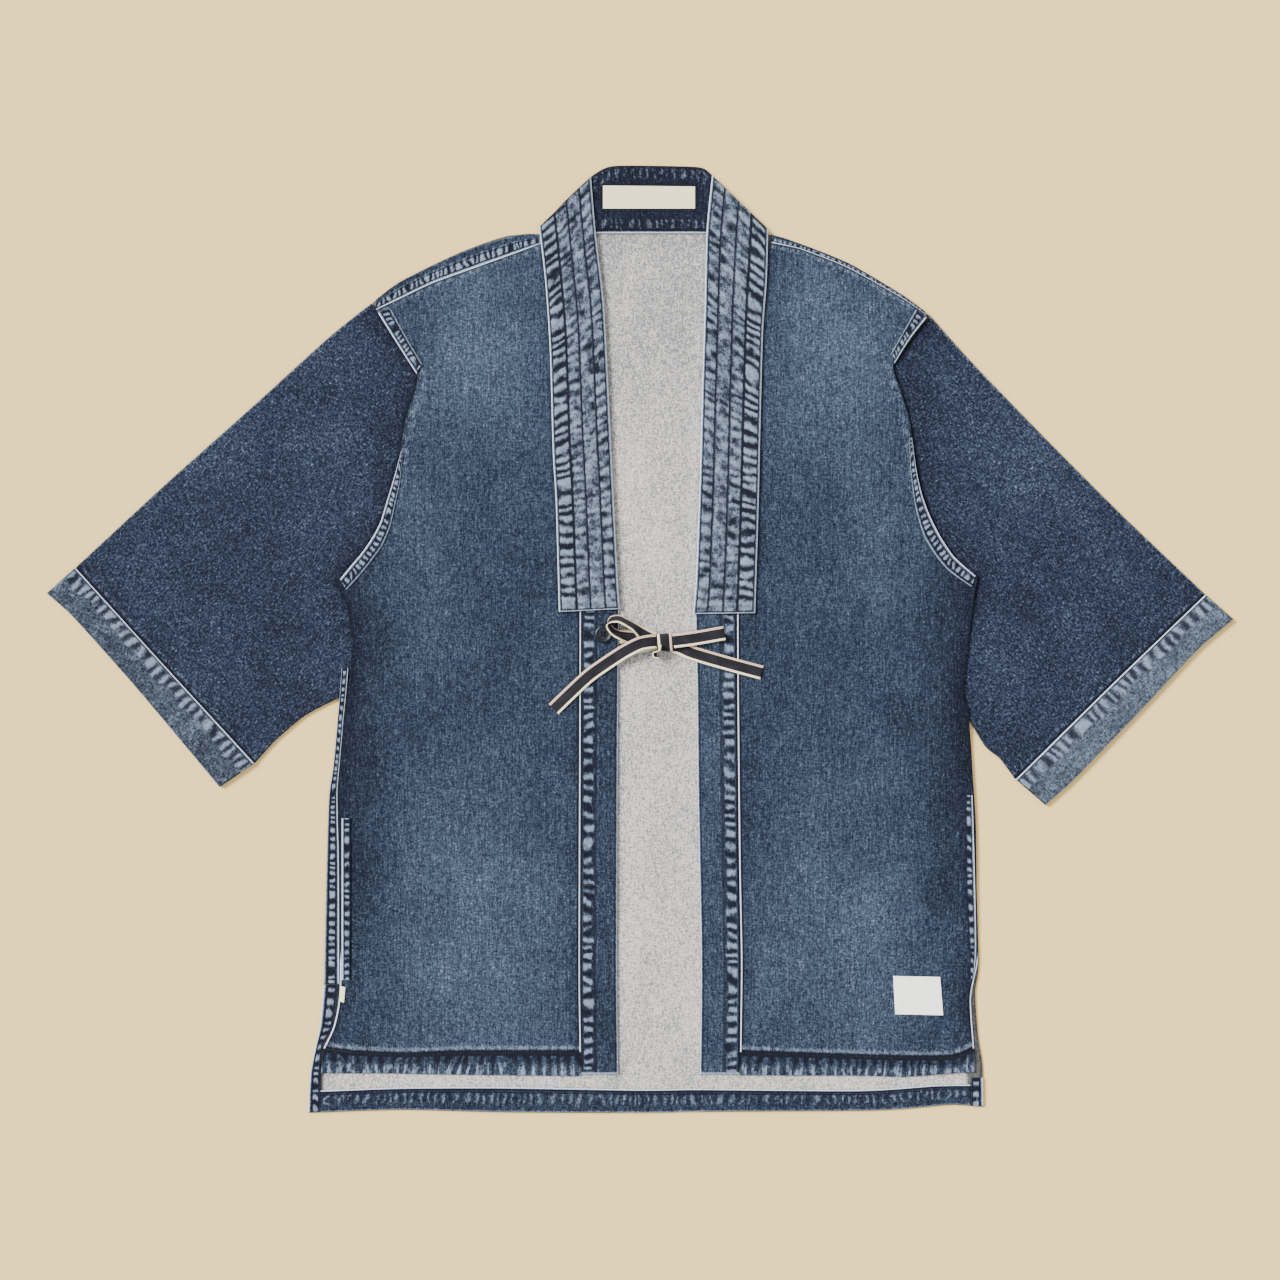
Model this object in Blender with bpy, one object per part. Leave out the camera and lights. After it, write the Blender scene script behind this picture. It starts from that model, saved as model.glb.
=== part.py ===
"""A denim kimono jacket with wide half sleeves, laid flat on its back with the fronts on top and tied with a bow.

The frame is the garment as seen from above: +X to the right of the picture, +Y towards the collar, +Z up,
and the underside of the back at Z = 0. Left and right in the names are the wearer's, so right is at -X.
Tables are in millimetres and degrees. Meshes are made in metres.
"""

import math
from collections import namedtuple

import bmesh
import bpy
import numpy as np
from mathutils import Vector
from mathutils.bvhtree import BVHTree

MM = 0.001

# Cloth thicknesses and the gap that pieces keep between them.
GAP = 0.3
CLOTH = 1.2
HEM = 2.1
SEAM_STRIP = 1.5
TOPSTITCHED_STRIP = 0.8
COLLAR = 3.0
LABEL = 0.6
TAPE_WIDTH = 12.0
TAPE = 1.0

# Heights of the layers of cloth that lie on each other.
BACK_TOP = CLOTH
FRONT_LOW = BACK_TOP + GAP
FRONT_TOP = FRONT_LOW + CLOTH
TUBE_TOP = 2 * CLOTH + GAP
COLLAR_BACK_TOP = 2.8
COLLAR_LOW = COLLAR_BACK_TOP + GAP

# The fronts ride up over the sleeves along the armholes.
ARM_LIFT = 2.4
ARM_LIFT_REACH = 60.0
ARM_LIFT_END = -95.0
ARM_LIFT_EASE = 40.0

COLLAR_CHANNELS = 4
COLLAR_GROOVE = 0.8
NECK_SEAM_Y = 345.6
FACING_START_Y = 32.0

BUTTON_RADIUS = 7.3
BUTTON_PLACE = (-31.0, 5.1)


def rows(columns, *values):
    """A short table: named columns, and one row for each section, point or fold."""
    row = namedtuple("Row", columns)
    return [row(*value) for value in values]


# The outlines, a row for each point that turns them. The two sides lie differently, as the garment does.
ARMHOLE = {
    "right": rows("x y", (-227.8, 286.4), (-203, 253), (-183, 222), (-186, 190), (-195, 156), (-204, 130),
                  (-217, 98), (-229, 74), (-238, 48), (-239, 20), (-239, -5), (-243, -26), (-251, -47)),
    "left": rows("x y", (245.7, 276.2), (226, 250), (209, 230), (214, 200), (221, 165), (230, 135),
                 (241, 104), (252, 76), (261, 48), (266, 18), (267, -14), (269, -42), (276, -62)),
}
BACK_SIDE = {
    "right": rows("x y", (-251, -47), (-257, -72), (-261, -110), (-264.5, -134), (-266.5, -191), (-268, -272),
                  (-270, -306), (-274, -340), (-279.5, -362), (-281.5, -384), (-282, -402)),
    "left": rows("x y", (276, -62), (281, -83), (283, -118), (285.5, -191), (288, -274), (285, -300),
                 (287.5, -338), (291, -360), (291.6, -384), (291.6, -397)),
}
BACK_TOP_EDGE = rows("x y", (-227.8, 286.4), (-209.9, 300.5), (-188.7, 312.8), (-151.3, 330.4), (-113.9, 343.4),
                     (-85, 345), (-34, 345), (54.4, 345), (108.8, 345), (137.7, 336.6), (177.7, 320.4),
                     (221, 294.9), (245.7, 276.2))
BACK_HEM_EDGE = rows("x y", (-282, -402), (-204, -399.5), (-119, -401.5), (0, -402.1), (51, -401.2),
                     (187, -400.3), (226, -398.6), (265, -395.2), (291.6, -397))
FRONT_SIDE = {
    "right": rows("x y", (-223.5, 279.6), (-206.5, 252.4), (-188.7, 224.4), (-198.9, 187), (-204, 156.4),
                  (-209.1, 137.7), (-221, 99.5), (-236.3, 73.1), (-255.8, 51), (-247, 31), (-243.9, 4.2),
                  (-246.5, -29.8), (-250.8, -62.9), (-255, -109.6), (-256.7, -140.2), (-255.4, -178.5),
                  (-255, -293.2), (-260.1, -327.2), (-269, -347)),
    "left": rows("x y", (243.9, 274.6), (229, 254), (215, 232.9), (221, 212.5), (228.7, 187), (233, 157),
                 (239.7, 123.2), (255, 86.7), (275.4, 62), (286.4, 53.5), (283.1, 32), (274.6, -41.6),
                 (279, -62), (283.1, -118.1), (285.6, -161.5), (286.4, -248.2), (287, -273.7),
                 (281.3, -304.3), (283.9, -347)),
}
FRONT_SHOULDER = {
    "right": rows("x y", (-223.5, 279.6), (-175.9, 302.6), (-138.5, 316.2), (-101.1, 329.8), (-80, 337.5),
                  (-50.1, 339)),
    "left": rows("x y", (243.9, 274.6), (221, 290.5), (177.7, 315), (137.7, 331), (108.8, 337), (84.1, 339)),
}
FRONT_EDGE_SEAM = {
    "right": rows("x y", (-50.1, 339), (-50.1, 17), (-51, -272), (-50.1, -350.2)),
    "left": rows("x y", (84.1, 339), (82.5, 20.4), (84.1, -178.5), (85.8, -272), (85, -350.2)),
}
HEM_SEAM = {
    "right": rows("x y", (-269, -347), (-240, -350.5), (-197.2, -351.9), (-150.4, -350.2), (-50.1, -350.2)),
    "left": rows("x y", (283.9, -347), (265, -354), (226.1, -354.5), (187, -353.6), (85, -350.2)),
}
HEM_EDGE = {
    "right": rows("x y", (-270.5, -368.1), (-215, -368.1), (-178.5, -368.9), (-50.1, -370.6)),
    "left": rows("x y", (283.9, -367.2), (265.2, -368.1), (226.1, -371), (187, -370.2), (85, -369.8)),
}
FACING_INNER = {
    "right": rows("x y", (-17.8, 32), (-18.7, -51), (-19.6, -272), (-18.7, -368.9)),
    "left": rows("x y", (46.8, 32), (48.4, -51), (49.3, -136), (51.9, -272), (51, -368.9)),
}
COLLAR_OUTER = {
    "right": rows("x y", (-85.8, 350.5), (-80.5, 305), (-76.5, 246), (-74, 160.7), (-71.4, 114.8), (-68.8, 23.8)),
    "left": rows("x y", (108.8, 348.5), (107.6, 305), (104.5, 262.6), (102.4, 190), (100.7, 114.8), (97.8, 22.9)),
}
COLLAR_INNER = {
    "right": rows("x y", (-41.6, 392.7), (-37.4, 343.4), (-30.6, 283.9), (-25.5, 183.6), (-22.9, 130),
                  (-18.7, 46.8), (-17, 26.3)),
    "left": rows("x y", (61.2, 394.4), (56.5, 346.8), (54.8, 278.8), (52.7, 212.5), (51, 145.3), (47.6, 54.4),
                 (45, 22.1)),
}
COLLAR_BACK_EDGE = rows("x y", (-83.5, 352), (-63.8, 373.1), (-42.6, 393), (-31.4, 400.3), (-22.1, 402.9),
                        (1.7, 403.2), (49.3, 401.9), (60.4, 395.8), (84.1, 371.4), (106.5, 350.2))
COLLAR_BACK_LOW = rows("x y", (-83.5, 345.6), (-34, 345.6), (11, 345.6), (54.4, 345.6), (106.5, 345.6))

# How many steps the armholes and the sides below them are drawn in.
ARMHOLE_STEPS = 16
SIDE_STEPS = 22

# The sleeves: the fold along the top, the underarm edge, and the line where the turned-up cuff begins.
SLEEVE_FOLD = {
    "right": rows("x y", (-227.8, 286.4), (-265, 257), (-330, 198), (-405, 131), (-479.4, 62)),
    "left": rows("x y", (245.7, 276.2), (284, 234), (346, 170), (410, 106), (480.2, 39.1)),
}
SLEEVE_UNDER = {
    "right": rows("x y", (-251, -47), (-283.9, -63.8), (-309.4, -85), (-327.2, -104.5)),
    "left": rows("x y", (276, -62), (293, -90), (306, -101.1), (318.8, -118.1)),
}
CUFF_SEAM = {
    "right": rows("x y", (-479.4, 62), (-404, -21), (-327.2, -104.5)),
    "left": rows("x y", (480.2, 39.1), (398, -40), (318.8, -118.1)),
}
CUFF_EDGE = {
    "right": rows("x y", (-504.1, 39.9), (-481, 19), (-430, -38), (-372, -107), (-357, -125)),
    "left": rows("x y", (504.1, 17.8), (474, -8), (425, -60), (370, -117), (344.2, -140.2)),
}

# Flat-felled seams and bindings: each is a strip between two edges.
SHOULDER_SEAM = {
    "right": rows("x outer inner", (-224, 289.1, 279.7), (-205, 303.6, 288.8), (-176, 318.5, 302.9),
                  (-138, 334.5, 316.7), (-101, 344.6, 330.1), (-84, 344.8, 336.6)),
    "left": rows("x outer inner", (243, 278, 275.6), (221, 294.5, 291), (178, 320, 315.4), (138, 336.2, 331.3),
                 (112, 344.5, 337.1)),
}
ARMHOLE_SEAM = {
    "right_upper": rows("x0 y0 x1 y1", (-222.2, 277.4, -211.5, 281.2), (-206, 251.4, -198, 256.4),
                        (-189.6, 225.8, -184.5, 233.5)),
    "right_lower": rows("x0 y0 x1 y1", (-202.6, 160, -200.6, 161), (-208.4, 138.5, -203.4, 135),
                        (-214.6, 118.1, -207, 118), (-220.4, 99.5, -211.9, 96.2), (-227.4, 86.3, -219, 79.8),
                        (-236, 73.8, -228.1, 67), (-245.4, 62.6, -239, 53.4), (-254.4, 51.6, -249, 42.5)),
    "left_upper": rows("x0 y0 x1 y1", (243, 273.4, 234, 280.4), (229, 255.6, 223, 260.6),
                       (216, 234.8, 213, 243)),
    "left_lower": rows("x0 y0 x1 y1", (230.8, 171.7, 228.4, 172), (234.2, 145.3, 229.6, 143),
                       (239.2, 123.2, 233.6, 113), (245.8, 105.4, 240.6, 89), (255, 87.4, 251, 71.6),
                       (265.6, 71.6, 260.4, 60.4), (275, 62.6, 270, 52.6), (284.6, 54.4, 281.4, 45)),
}
SIDE_SEAM = rows("y outer inner", (-24, -253.2, -247.6), (-47, -254.8, -249.6), (-72, -257.2, -252.2),
                 (-110, -261, -255.7), (-134, -264.4, -257.2), (-191, -266.4, -255.9), (-292, -268.6, -255.7))
VENT_FACING = {
    "right": rows("y outer inner", (-293, -268.9, -256.2), (-327, -272, -261), (-345, -275.5, -270),
                  (-366, -280, -271.7), (-384, -281.4, -271.7), (-401, -281.9, -271.7)),
    "left": rows("y outer inner", (-372, 291.2, 281.5), (-384, 291.5, 281.2), (-396, 291.5, 281)),
}
BACK_HEM_TOP = rows("x y", (-271.4, -383), (-204, -380.5), (-119, -380), (0, -382), (51, -381.5), (187, -382.5),
                    (250, -378.5), (280.7, -378))
POCKET_WELT = {
    "right": rows("y outer inner", (-151.3, -253.3, -245.9), (-220, -253.3, -245.7), (-289, -253.3, -245.9)),
    "left": rows("y outer inner", (-131.8, 282.4, 276.6), (-200, 284.4, 276.8), (-262, 285.4, 279.8),
                 (-288, 283.2, 280.6)),
}

# The largest soft folds: where each runs, how far, how wide across its foot, and how high it stands.
FOLDS = rows("piece x y heading length width height",
             ("front_right", -222, -22, -68, 62, 15, 1.7),
             ("front_right", -186, 112, -84, 60, 20, 1.2),
             ("front_right", -150, 250, -40, 46, 20, 1.0),
             ("front_right", -190, -250, 80, 80, 26, 1.0),
             ("front_left", 248, -40, -40, 34, 12, 1.9),
             ("front_left", 205, 100, -97, 66, 22, 1.2),
             ("front_left", 178, 246, -150, 48, 20, 1.0),
             ("front_left", 215, -210, 96, 90, 26, 1.0),
             ("sleeve_right", -330, -32, 96, 38, 11, 1.6),
             ("sleeve_right", -262, 140, 66, 70, 20, 1.4),
             ("sleeve_right", -385, 70, 40, 80, 26, 1.0),
             ("sleeve_left", 322, -60, 62, 42, 12, 1.6),
             ("sleeve_left", 275, 120, 118, 74, 20, 1.4),
             ("sleeve_left", 392, 45, 138, 80, 26, 1.0))

# The bow: the middle line of each stretch of tape, and the way that its width points.
TAPES = {
    "tie_tail_right": rows("x y z ax ay az", (13.9, -1.2, 7.4, 0, 1, 0), (8, -1.6, 9.1, 0, 1, 0),
                           (0, -3.2, 10.8, -0.25, 1, 0), (-8, -7, 10.4, -0.5, 1, 0),
                           (-15, -10.9, 8.4, -0.62, 1, 0), (-28.7, -19.9, 5.2, -0.7, 1, 0),
                           (-43.7, -30.7, 4.5, -0.8, 1, 0), (-59.9, -45.7, 3.9, -0.95, 1, 0),
                           (-73.3, -58.7, 3.6, -1, 1, 0)),
    "tie_tail_left": rows("x y z ax ay az", (28.8, -5, 3.6, 0, 1, 0), (35, -7, 3.9, 0.2, 1, 0),
                          (43.5, -10.8, 4.7, 0.3, 1, 0), (60, -15.8, 4.8, 0.28, 1, 0),
                          (78, -20.9, 4.6, 0.27, 1, 0), (92, -24.7, 3.9, 0.26, 1, 0),
                          (103.6, -27.8, 3.6, 0.26, 1, 0)),
    "tie_loop_right": rows("x y z ax ay az", (13.4, 0.6, 5.1, 0, 1, 0), (9, 1.6, 5.2, 0.1, 1, -0.1),
                           (2, 5.6, 5.6, 0.1, 0.95, -0.3), (-5.2, 11.2, 8.3, 0.11, 0.6, -0.8),
                           (-12, 15.2, 9.9, 0.11, 0.52, -0.85), (-18, 17.9, 10, 0.11, 0.52, -0.85),
                           (-24, 17.2, 10, 0.11, 0.52, -0.85), (-26.8, 13.4, 10, 0.11, 0.52, -0.85),
                           (-23.5, 7.8, 9.9, 0.11, 0.52, -0.85), (-17.5, 4.4, 8.4, 0.11, 0.62, -0.78),
                           (-11.5, 2.8, 5.6, 0.08, 0.9, -0.4), (-5, 1.9, 4.3, 0, 1, -0.15),
                           (5, 0.4, 3.6, 0, 1, 0), (13.9, -0.5, 3.6, 0, 1, 0)),
    "tie_loop_left": rows("x y z ax ay az", (28.4, -0.8, 8, 0, 1, 0), (38, 0.3, 8, -0.13, 1, 0),
                          (49.3, 1.95, 7.6, -0.15, 1, 0), (62, 4.2, 6.9, -0.18, 1, 0),
                          (70, 5.6, 6.4, -0.18, 1, 0), (71.5, 5.9, 5.7, -0.18, 1, 0),
                          (70, 5.6, 5, -0.18, 1, 0), (60, 3.8, 5.2, -0.18, 1, 0), (48, 1.8, 5.8, -0.15, 1, 0),
                          (36, 0, 6, -0.1, 1, 0), (28.4, -1, 6, 0, 1, 0)),
    "tie_root_right": rows("x y z ax ay az", (-16.6, -7, 2.1, 0.14, 1, 0), (13.6, -2.5, 2.2, 0.14, 1, 0)),
    "tie_root_left": rows("x y z ax ay az", (28.9, -2.5, 2.2, -0.2, 1, 0), (45.6, 1.3, 2.1, -0.2, 1, 0)),
}
TAPE_STEPS = {"tie_root_right": 1, "tie_root_left": 1}
KNOT_MIDDLE = (21.05, -2.0, 5.4)
KNOT_SIZE = (12.6, 15.6, 7.6)

# Colours are linear.
MATERIALS = rows("name red green blue roughness",
                 ("denim_face", 0.070, 0.105, 0.175, 0.85),
                 ("denim_sleeve", 0.045, 0.068, 0.120, 0.85),
                 ("denim_washed", 0.150, 0.190, 0.260, 0.85),
                 ("denim_reverse", 0.500, 0.490, 0.480, 0.90),
                 ("tape", 0.030, 0.030, 0.050, 0.80),
                 ("label_cloth", 0.780, 0.750, 0.640, 0.80),
                 ("button_resin", 0.010, 0.013, 0.026, 0.35))


def clear_scene():
    for old in list(bpy.data.objects):
        bpy.data.objects.remove(old)


def make_materials():
    made = {}
    for row in MATERIALS:
        material = bpy.data.materials.new(row.name)
        material.use_nodes = True
        shader = material.node_tree.nodes["Principled BSDF"]
        shader.inputs["Base Color"].default_value = (row.red, row.green, row.blue, 1)
        shader.inputs["Roughness"].default_value = row.roughness
        shader.inputs["Metallic"].default_value = 0.0
        made[row.name] = material
    return made


def ease(value):
    """0 below 0, 1 above 1, and a smooth step between them."""
    value = np.clip(value, 0.0, 1.0)
    return value * value * (3 - 2 * value)


def smooth_line(points, tension=0.36):
    """A function of 0 to 1, by length, that follows a smooth line through the points."""
    points = np.array(points, float)
    before = np.vstack([points[:1], points[:-1]])
    after = np.vstack([points[1:], points[-1:]])
    tangents = tension * (after - before)
    tangents[0] = tension * 2 * (points[1] - points[0])
    tangents[-1] = tension * 2 * (points[-1] - points[-2])
    lengths = np.concatenate([[0.0], np.cumsum(np.linalg.norm(np.diff(points, axis=0), axis=1))])
    stations = lengths / lengths[-1]

    def at(share):
        share = min(max(share, 0.0), 1.0)
        index = min(int(np.searchsorted(stations, share, side="right")) - 1, len(points) - 2)
        t = (share - stations[index]) / (stations[index + 1] - stations[index])
        return ((2 * t**3 - 3 * t**2 + 1) * points[index] + (t**3 - 2 * t**2 + t) * tangents[index]
                + (3 * t**2 - 2 * t**3) * points[index + 1] + (t**3 - t**2) * tangents[index + 1])

    return at


def line_of(table):
    return smooth_line([(row.x, row.y) for row in table])


def moved_line(line, offset):
    return lambda share: line(share) + np.array(offset)


def across_at(line, y):
    """Where a line that runs down the garment crosses a height."""
    low, high = 0.0, 1.0
    for _ in range(30):
        middle = (low + high) / 2
        if line(middle)[1] > y:
            low = middle
        else:
            high = middle
    return line(low)[0]


def height_at(line, x):
    """Where a line that runs to the right crosses an x."""
    low, high = 0.0, 1.0
    for _ in range(30):
        middle = (low + high) / 2
        if line(middle)[0] < x:
            low = middle
        else:
            high = middle
    return line(low)[1]


def patch_between(top, bottom, left, right):
    """A function of (u, v) that fills four edges. Top and bottom run from left to right, the others downwards."""

    def at(u, v):
        corners = ((1 - u) * (1 - v) * top(0) + u * (1 - v) * top(1)
                   + (1 - u) * v * bottom(0) + u * v * bottom(1))
        return (1 - v) * top(u) + v * bottom(u) + (1 - u) * left(v) + u * right(v) - corners

    return at


def strip_between(first, second):
    """A ruled strip: u goes across from the first line to the second, and v along both."""
    return lambda u, v: (1 - u) * first(v) + u * second(v)


def even(count):
    return [i / count for i in range(count + 1)]


def finish_mesh(name, bm, material, smooth_angle=35.0):
    bmesh.ops.recalc_face_normals(bm, faces=bm.faces[:])
    mesh = bpy.data.meshes.new(name)
    bm.to_mesh(mesh)
    bm.free()
    mesh.materials.append(material)
    mesh.shade_smooth()
    mesh.set_sharp_from_angle(angle=math.radians(smooth_angle))
    made = bpy.data.objects.new(name, mesh)
    bpy.context.scene.collection.objects.link(made)
    return made


def slab(name, patch, us, vs, under, over, material):
    """A closed wall over a patch. under(x, y, u, v) and over(x, y, u, v) are the heights of its two faces."""
    bm = bmesh.new()
    columns, lines = len(us), len(vs)
    layers = []
    for height in (over, under):
        grid = []
        for v in vs:
            for u in us:
                x, y = patch(u, v)
                grid.append(bm.verts.new(Vector((x, y, height(x, y, u, v))) * MM))
        layers.append(grid)
    for grid in layers:
        for j in range(lines - 1):
            for i in range(columns - 1):
                k = j * columns + i
                bm.faces.new((grid[k], grid[k + 1], grid[k + columns + 1], grid[k + columns]))
    rim = ([i for i in range(columns)] + [j * columns + columns - 1 for j in range(1, lines)]
           + [(lines - 1) * columns + i for i in range(columns - 2, -1, -1)]
           + [j * columns for j in range(lines - 2, 0, -1)])
    for a, b in zip(rim, rim[1:] + rim[:1]):
        bm.faces.new((layers[0][a], layers[0][b], layers[1][b], layers[1][a]))
    return finish_mesh(name, bm, material)


def rings_joined(name, rings, material):
    """A closed body through rings of equal count, each a list of points in millimetres, joined end to end."""
    bm = bmesh.new()
    made = [[bm.verts.new(Vector(point) * MM) for point in ring] for ring in rings]
    count = len(made[0])
    for ring, following in zip(made, made[1:] + made[:1]):
        for i in range(count):
            k = (i + 1) % count
            bm.faces.new((ring[i], ring[k], following[k], following[i]))
    return finish_mesh(name, bm, material)


def level(height):
    return lambda x, y, u, v: height


def fold_relief(piece, x, y):
    """How far the soft folds of a piece lift it at a point."""
    total = 0.0
    for fold in FOLDS:
        if fold.piece != piece:
            continue
        angle = math.radians(fold.heading)
        dx, dy = x - fold.x, y - fold.y
        along = dx * math.cos(angle) + dy * math.sin(angle)
        across = -dx * math.sin(angle) + dy * math.cos(angle)
        total += fold.height * math.exp(-((across / fold.width) ** 2) - (along / fold.length) ** 4)
    return total


def arm_lift(distance, y):
    """How far a front rides up over the sleeve, by the distance from its side edge."""
    return ARM_LIFT * float(ease(1 - distance / ARM_LIFT_REACH) * ease((y - ARM_LIFT_END) / ARM_LIFT_EASE))


def inner_mask(u, v, margin_u, margin_v):
    """1 inside a patch, easing to 0 along its four edges."""
    return float(ease(u / margin_u) * ease((1 - u) / margin_u) * ease(v / margin_v) * ease((1 - v) / margin_v))


def front_patch(side):
    return patch_between(line_of(FRONT_SHOULDER[side][::-1]), line_of(HEM_SEAM[side][::-1]),
                         line_of(FRONT_EDGE_SEAM[side]), line_of(FRONT_SIDE[side]))


def front_under(side, patch, seam_u=1.0):
    """The height of a front's underside. u runs from the front edge to the side."""

    def at(x, y, u, v):
        side_point = patch(seam_u, v)
        distance = math.hypot(x - side_point[0], y - side_point[1])
        return (FRONT_LOW + arm_lift(distance, y)
                + fold_relief("front_" + side, x, y) * inner_mask(u, v, 0.10, 0.05))

    return at


def raised(height, lift):
    return lambda x, y, u, v: height(x, y, u, v) + lift


def make_fronts(cloth):
    """The two fronts, each from its shoulder seam down to its hem seam."""
    us = even(13)
    vs = even(30)
    for side in ("right", "left"):
        patch = front_patch(side)
        under = front_under(side, patch)
        slab("front_" + side, patch, us, vs, under, raised(under, CLOTH), cloth["denim_face"])


def back_edge(side):
    """A side of the back: the armhole for the first half of v, and the side seam for the other."""
    armhole, below = line_of(ARMHOLE[side]), line_of(BACK_SIDE[side])
    return lambda v: armhole(2 * v) if v < 0.5 else below(2 * v - 1)


def make_back(cloth):
    patch = patch_between(line_of(BACK_TOP_EDGE), line_of(BACK_HEM_EDGE), back_edge("right"), back_edge("left"))
    vs = [v / 2 for v in even(ARMHOLE_STEPS)] + [0.5 + v / 2 for v in even(SIDE_STEPS)[1:]]
    slab("back_panel", patch, even(24), vs, level(0), level(BACK_TOP), cloth["denim_reverse"])


def tube_rings(piece, patch, wall, loft, shares, edge_run):
    """Rings of a tube of cloth that lies flat, outer ones down its length and inner ones back.

    patch(u, v) has u down the length and v across, from the fold along the top to the underarm edge.
    """
    top = 2 * wall + GAP
    outer, inner = [], []
    for u in even(shares):
        points = [np.array(patch(u, v)) for v in edge_run]
        start, end = points[0], points[-1]
        width = float(np.linalg.norm(end - start))

        def place(inset, z, u=u, width=width):
            x, y = patch(u, inset / width)
            return (x, y, z)

        def ring(skin, low, high, u=u, width=width, place=place):
            first = [place(skin, (low + high) / 2), place(skin + 0.3, high - 0.3)]
            tops = []
            bottoms = []
            for v in edge_run[1:-1]:
                x, y = patch(u, v)
                lift = loft(piece, x, y) * inner_mask(u, v, 0.16, 0.16)
                tops.append((x, y, high + lift))
                bottoms.append((x, y, low))
            last = [place(width - skin - 0.3, high - 0.3), place(width - skin, (low + high) / 2)]
            return (first + [place(skin + 1.0, high)] + tops + [place(width - skin - 1.0, high)] + last
                    + [place(width - skin - 1.0, low)] + bottoms[::-1] + [place(skin + 1.0, low)])

        outer.append(ring(0.0, 0.0, top))
        inner.append(ring(wall, wall, wall + GAP))
    return outer + inner[::-1]


def make_sleeves(cloth):
    """The sleeves: flattened tubes that start a seam gap away from the armholes of the back."""
    for side, outward in (("right", -1), ("left", 1)):
        clear = (outward * 1.5 * GAP, 0)
        armhole = moved_line(line_of(ARMHOLE[side]), clear)
        fold = smooth_line([armhole(0)] + [(row.x, row.y) for row in SLEEVE_FOLD[side][1:]])
        under = smooth_line([armhole(1)] + [(row.x, row.y) for row in SLEEVE_UNDER[side][1:]])
        patch = patch_between(fold, under, armhole, line_of(CUFF_SEAM[side]))
        rings = tube_rings("sleeve_" + side, patch, CLOTH, fold_relief, 12, even(ARMHOLE_STEPS))
        rings_joined("sleeve_" + side, rings, cloth["denim_sleeve"])


def make_cuffs(cloth):
    """The turned-up ends of the sleeves, two layers of cloth thick all round."""
    for side in ("right", "left"):
        outward = -1 if side == "right" else 1
        seam = moved_line(line_of(CUFF_SEAM[side]), (outward * 1.2 * GAP, -1.2 * GAP))
        edge = line_of(CUFF_EDGE[side])
        fold = smooth_line([seam(0), edge(0)])
        under = smooth_line([seam(1), edge(1)])
        patch = patch_between(fold, under, seam, edge)
        rings = tube_rings("cuff_" + side, patch, 1.8, fold_relief, 3, even(ARMHOLE_STEPS))
        rings_joined("cuff_" + side, rings, cloth["denim_washed"])


def channel_relief(u):
    """The collar's quilted channels: crowned between rows of stitching, 1 at a crown and 0 in a groove."""
    return abs(math.sin(math.pi * u * COLLAR_CHANNELS))


def make_collar(cloth):
    """The two front bands and the stretch behind the neck, one folded band on the real garment."""
    channel = [0.0, 0.2, 0.5, 0.8]
    us = [(i + share) / COLLAR_CHANNELS for i in range(COLLAR_CHANNELS) for share in channel] + [1.0]
    vs = even(24)
    row_height = 16.0
    for side in ("right", "left"):
        outer, inner = line_of(COLLAR_OUTER[side]), line_of(COLLAR_INNER[side])
        patch = strip_between(outer, inner)
        front_edge = line_of(FRONT_EDGE_SEAM[side])
        toward = 1 if side == "right" else -1

        def under(x, y, u, v, toward=toward, front_edge=front_edge):
            past_front = toward * (x - across_at(front_edge, y))
            if past_front > -4.5 and y < FACING_START_Y + row_height:
                return FRONT_LOW + HEM + GAP
            if past_front > 4.2 and y < NECK_SEAM_Y - row_height:
                return FRONT_LOW
            return COLLAR_LOW

        def over(x, y, u, v):
            return COLLAR_LOW + COLLAR - COLLAR_GROOVE + COLLAR_GROOVE * channel_relief(u)

        slab("collar_" + side, patch, us, vs, under, over, cloth["denim_washed"])
    patch = patch_between(line_of(COLLAR_BACK_EDGE), line_of(COLLAR_BACK_LOW),
                          smooth_line([(-83.5, 352), (-83.5, 345.6)]),
                          smooth_line([(106.5, 350.2), (106.5, 345.6)]))
    slab("collar_back", patch, even(20), even(4), level(0), level(COLLAR_BACK_TOP), cloth["denim_face"])


def make_facings_and_hems(cloth):
    """The turned front edges below the collar, the turned hems, and the faced vents at the sides."""
    for side in ("right", "left"):
        clear = 1 if side == "right" else -1
        inner = line_of(FACING_INNER[side])
        front_edge = line_of(FRONT_EDGE_SEAM[side])

        def beside_front(share, inner=inner, front_edge=front_edge, clear=clear):
            y = inner(share)[1]
            return np.array([across_at(front_edge, max(y, -350)) + clear * 1.5 * GAP, y])

        slab("facing_" + side, strip_between(beside_front, inner), even(2), even(16), level(FRONT_LOW),
             level(FRONT_LOW + HEM), cloth["denim_washed"])
        seam = moved_line(line_of(HEM_SEAM[side]), (-clear * 0.5, -0.5))
        edge = moved_line(line_of(HEM_EDGE[side]), (-clear * 0.5, 0))
        slab("front_hem_" + side, strip_between(seam, edge), even(2), even(14), level(FRONT_LOW),
             level(FRONT_LOW + HEM), cloth["denim_washed"])
        strip_of_rows("vent_facing_" + side, VENT_FACING[side], 8, FRONT_LOW, CLOTH, cloth["denim_face"])
    top = line_of(BACK_HEM_TOP)
    edge = line_of(BACK_HEM_EDGE)
    hem_edge = lambda share: np.array([top(share)[0], height_at(edge, top(share)[0]) + 0.6])
    slab("back_hem", strip_between(top, hem_edge), even(2), even(26), level(FRONT_LOW),
         level(FRONT_LOW + CLOTH), cloth["denim_face"])


def strip_of_rows(name, table, lines, low, thickness, material):
    """A flat strip that runs down the garment, from rows of y with its outer and inner x."""
    outer = smooth_line([(row.outer, row.y) for row in table])
    inner = smooth_line([(row.inner, row.y) for row in table])
    return slab(name, strip_between(outer, inner), even(2), even(lines), level(low), level(low + thickness),
                material)


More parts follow.
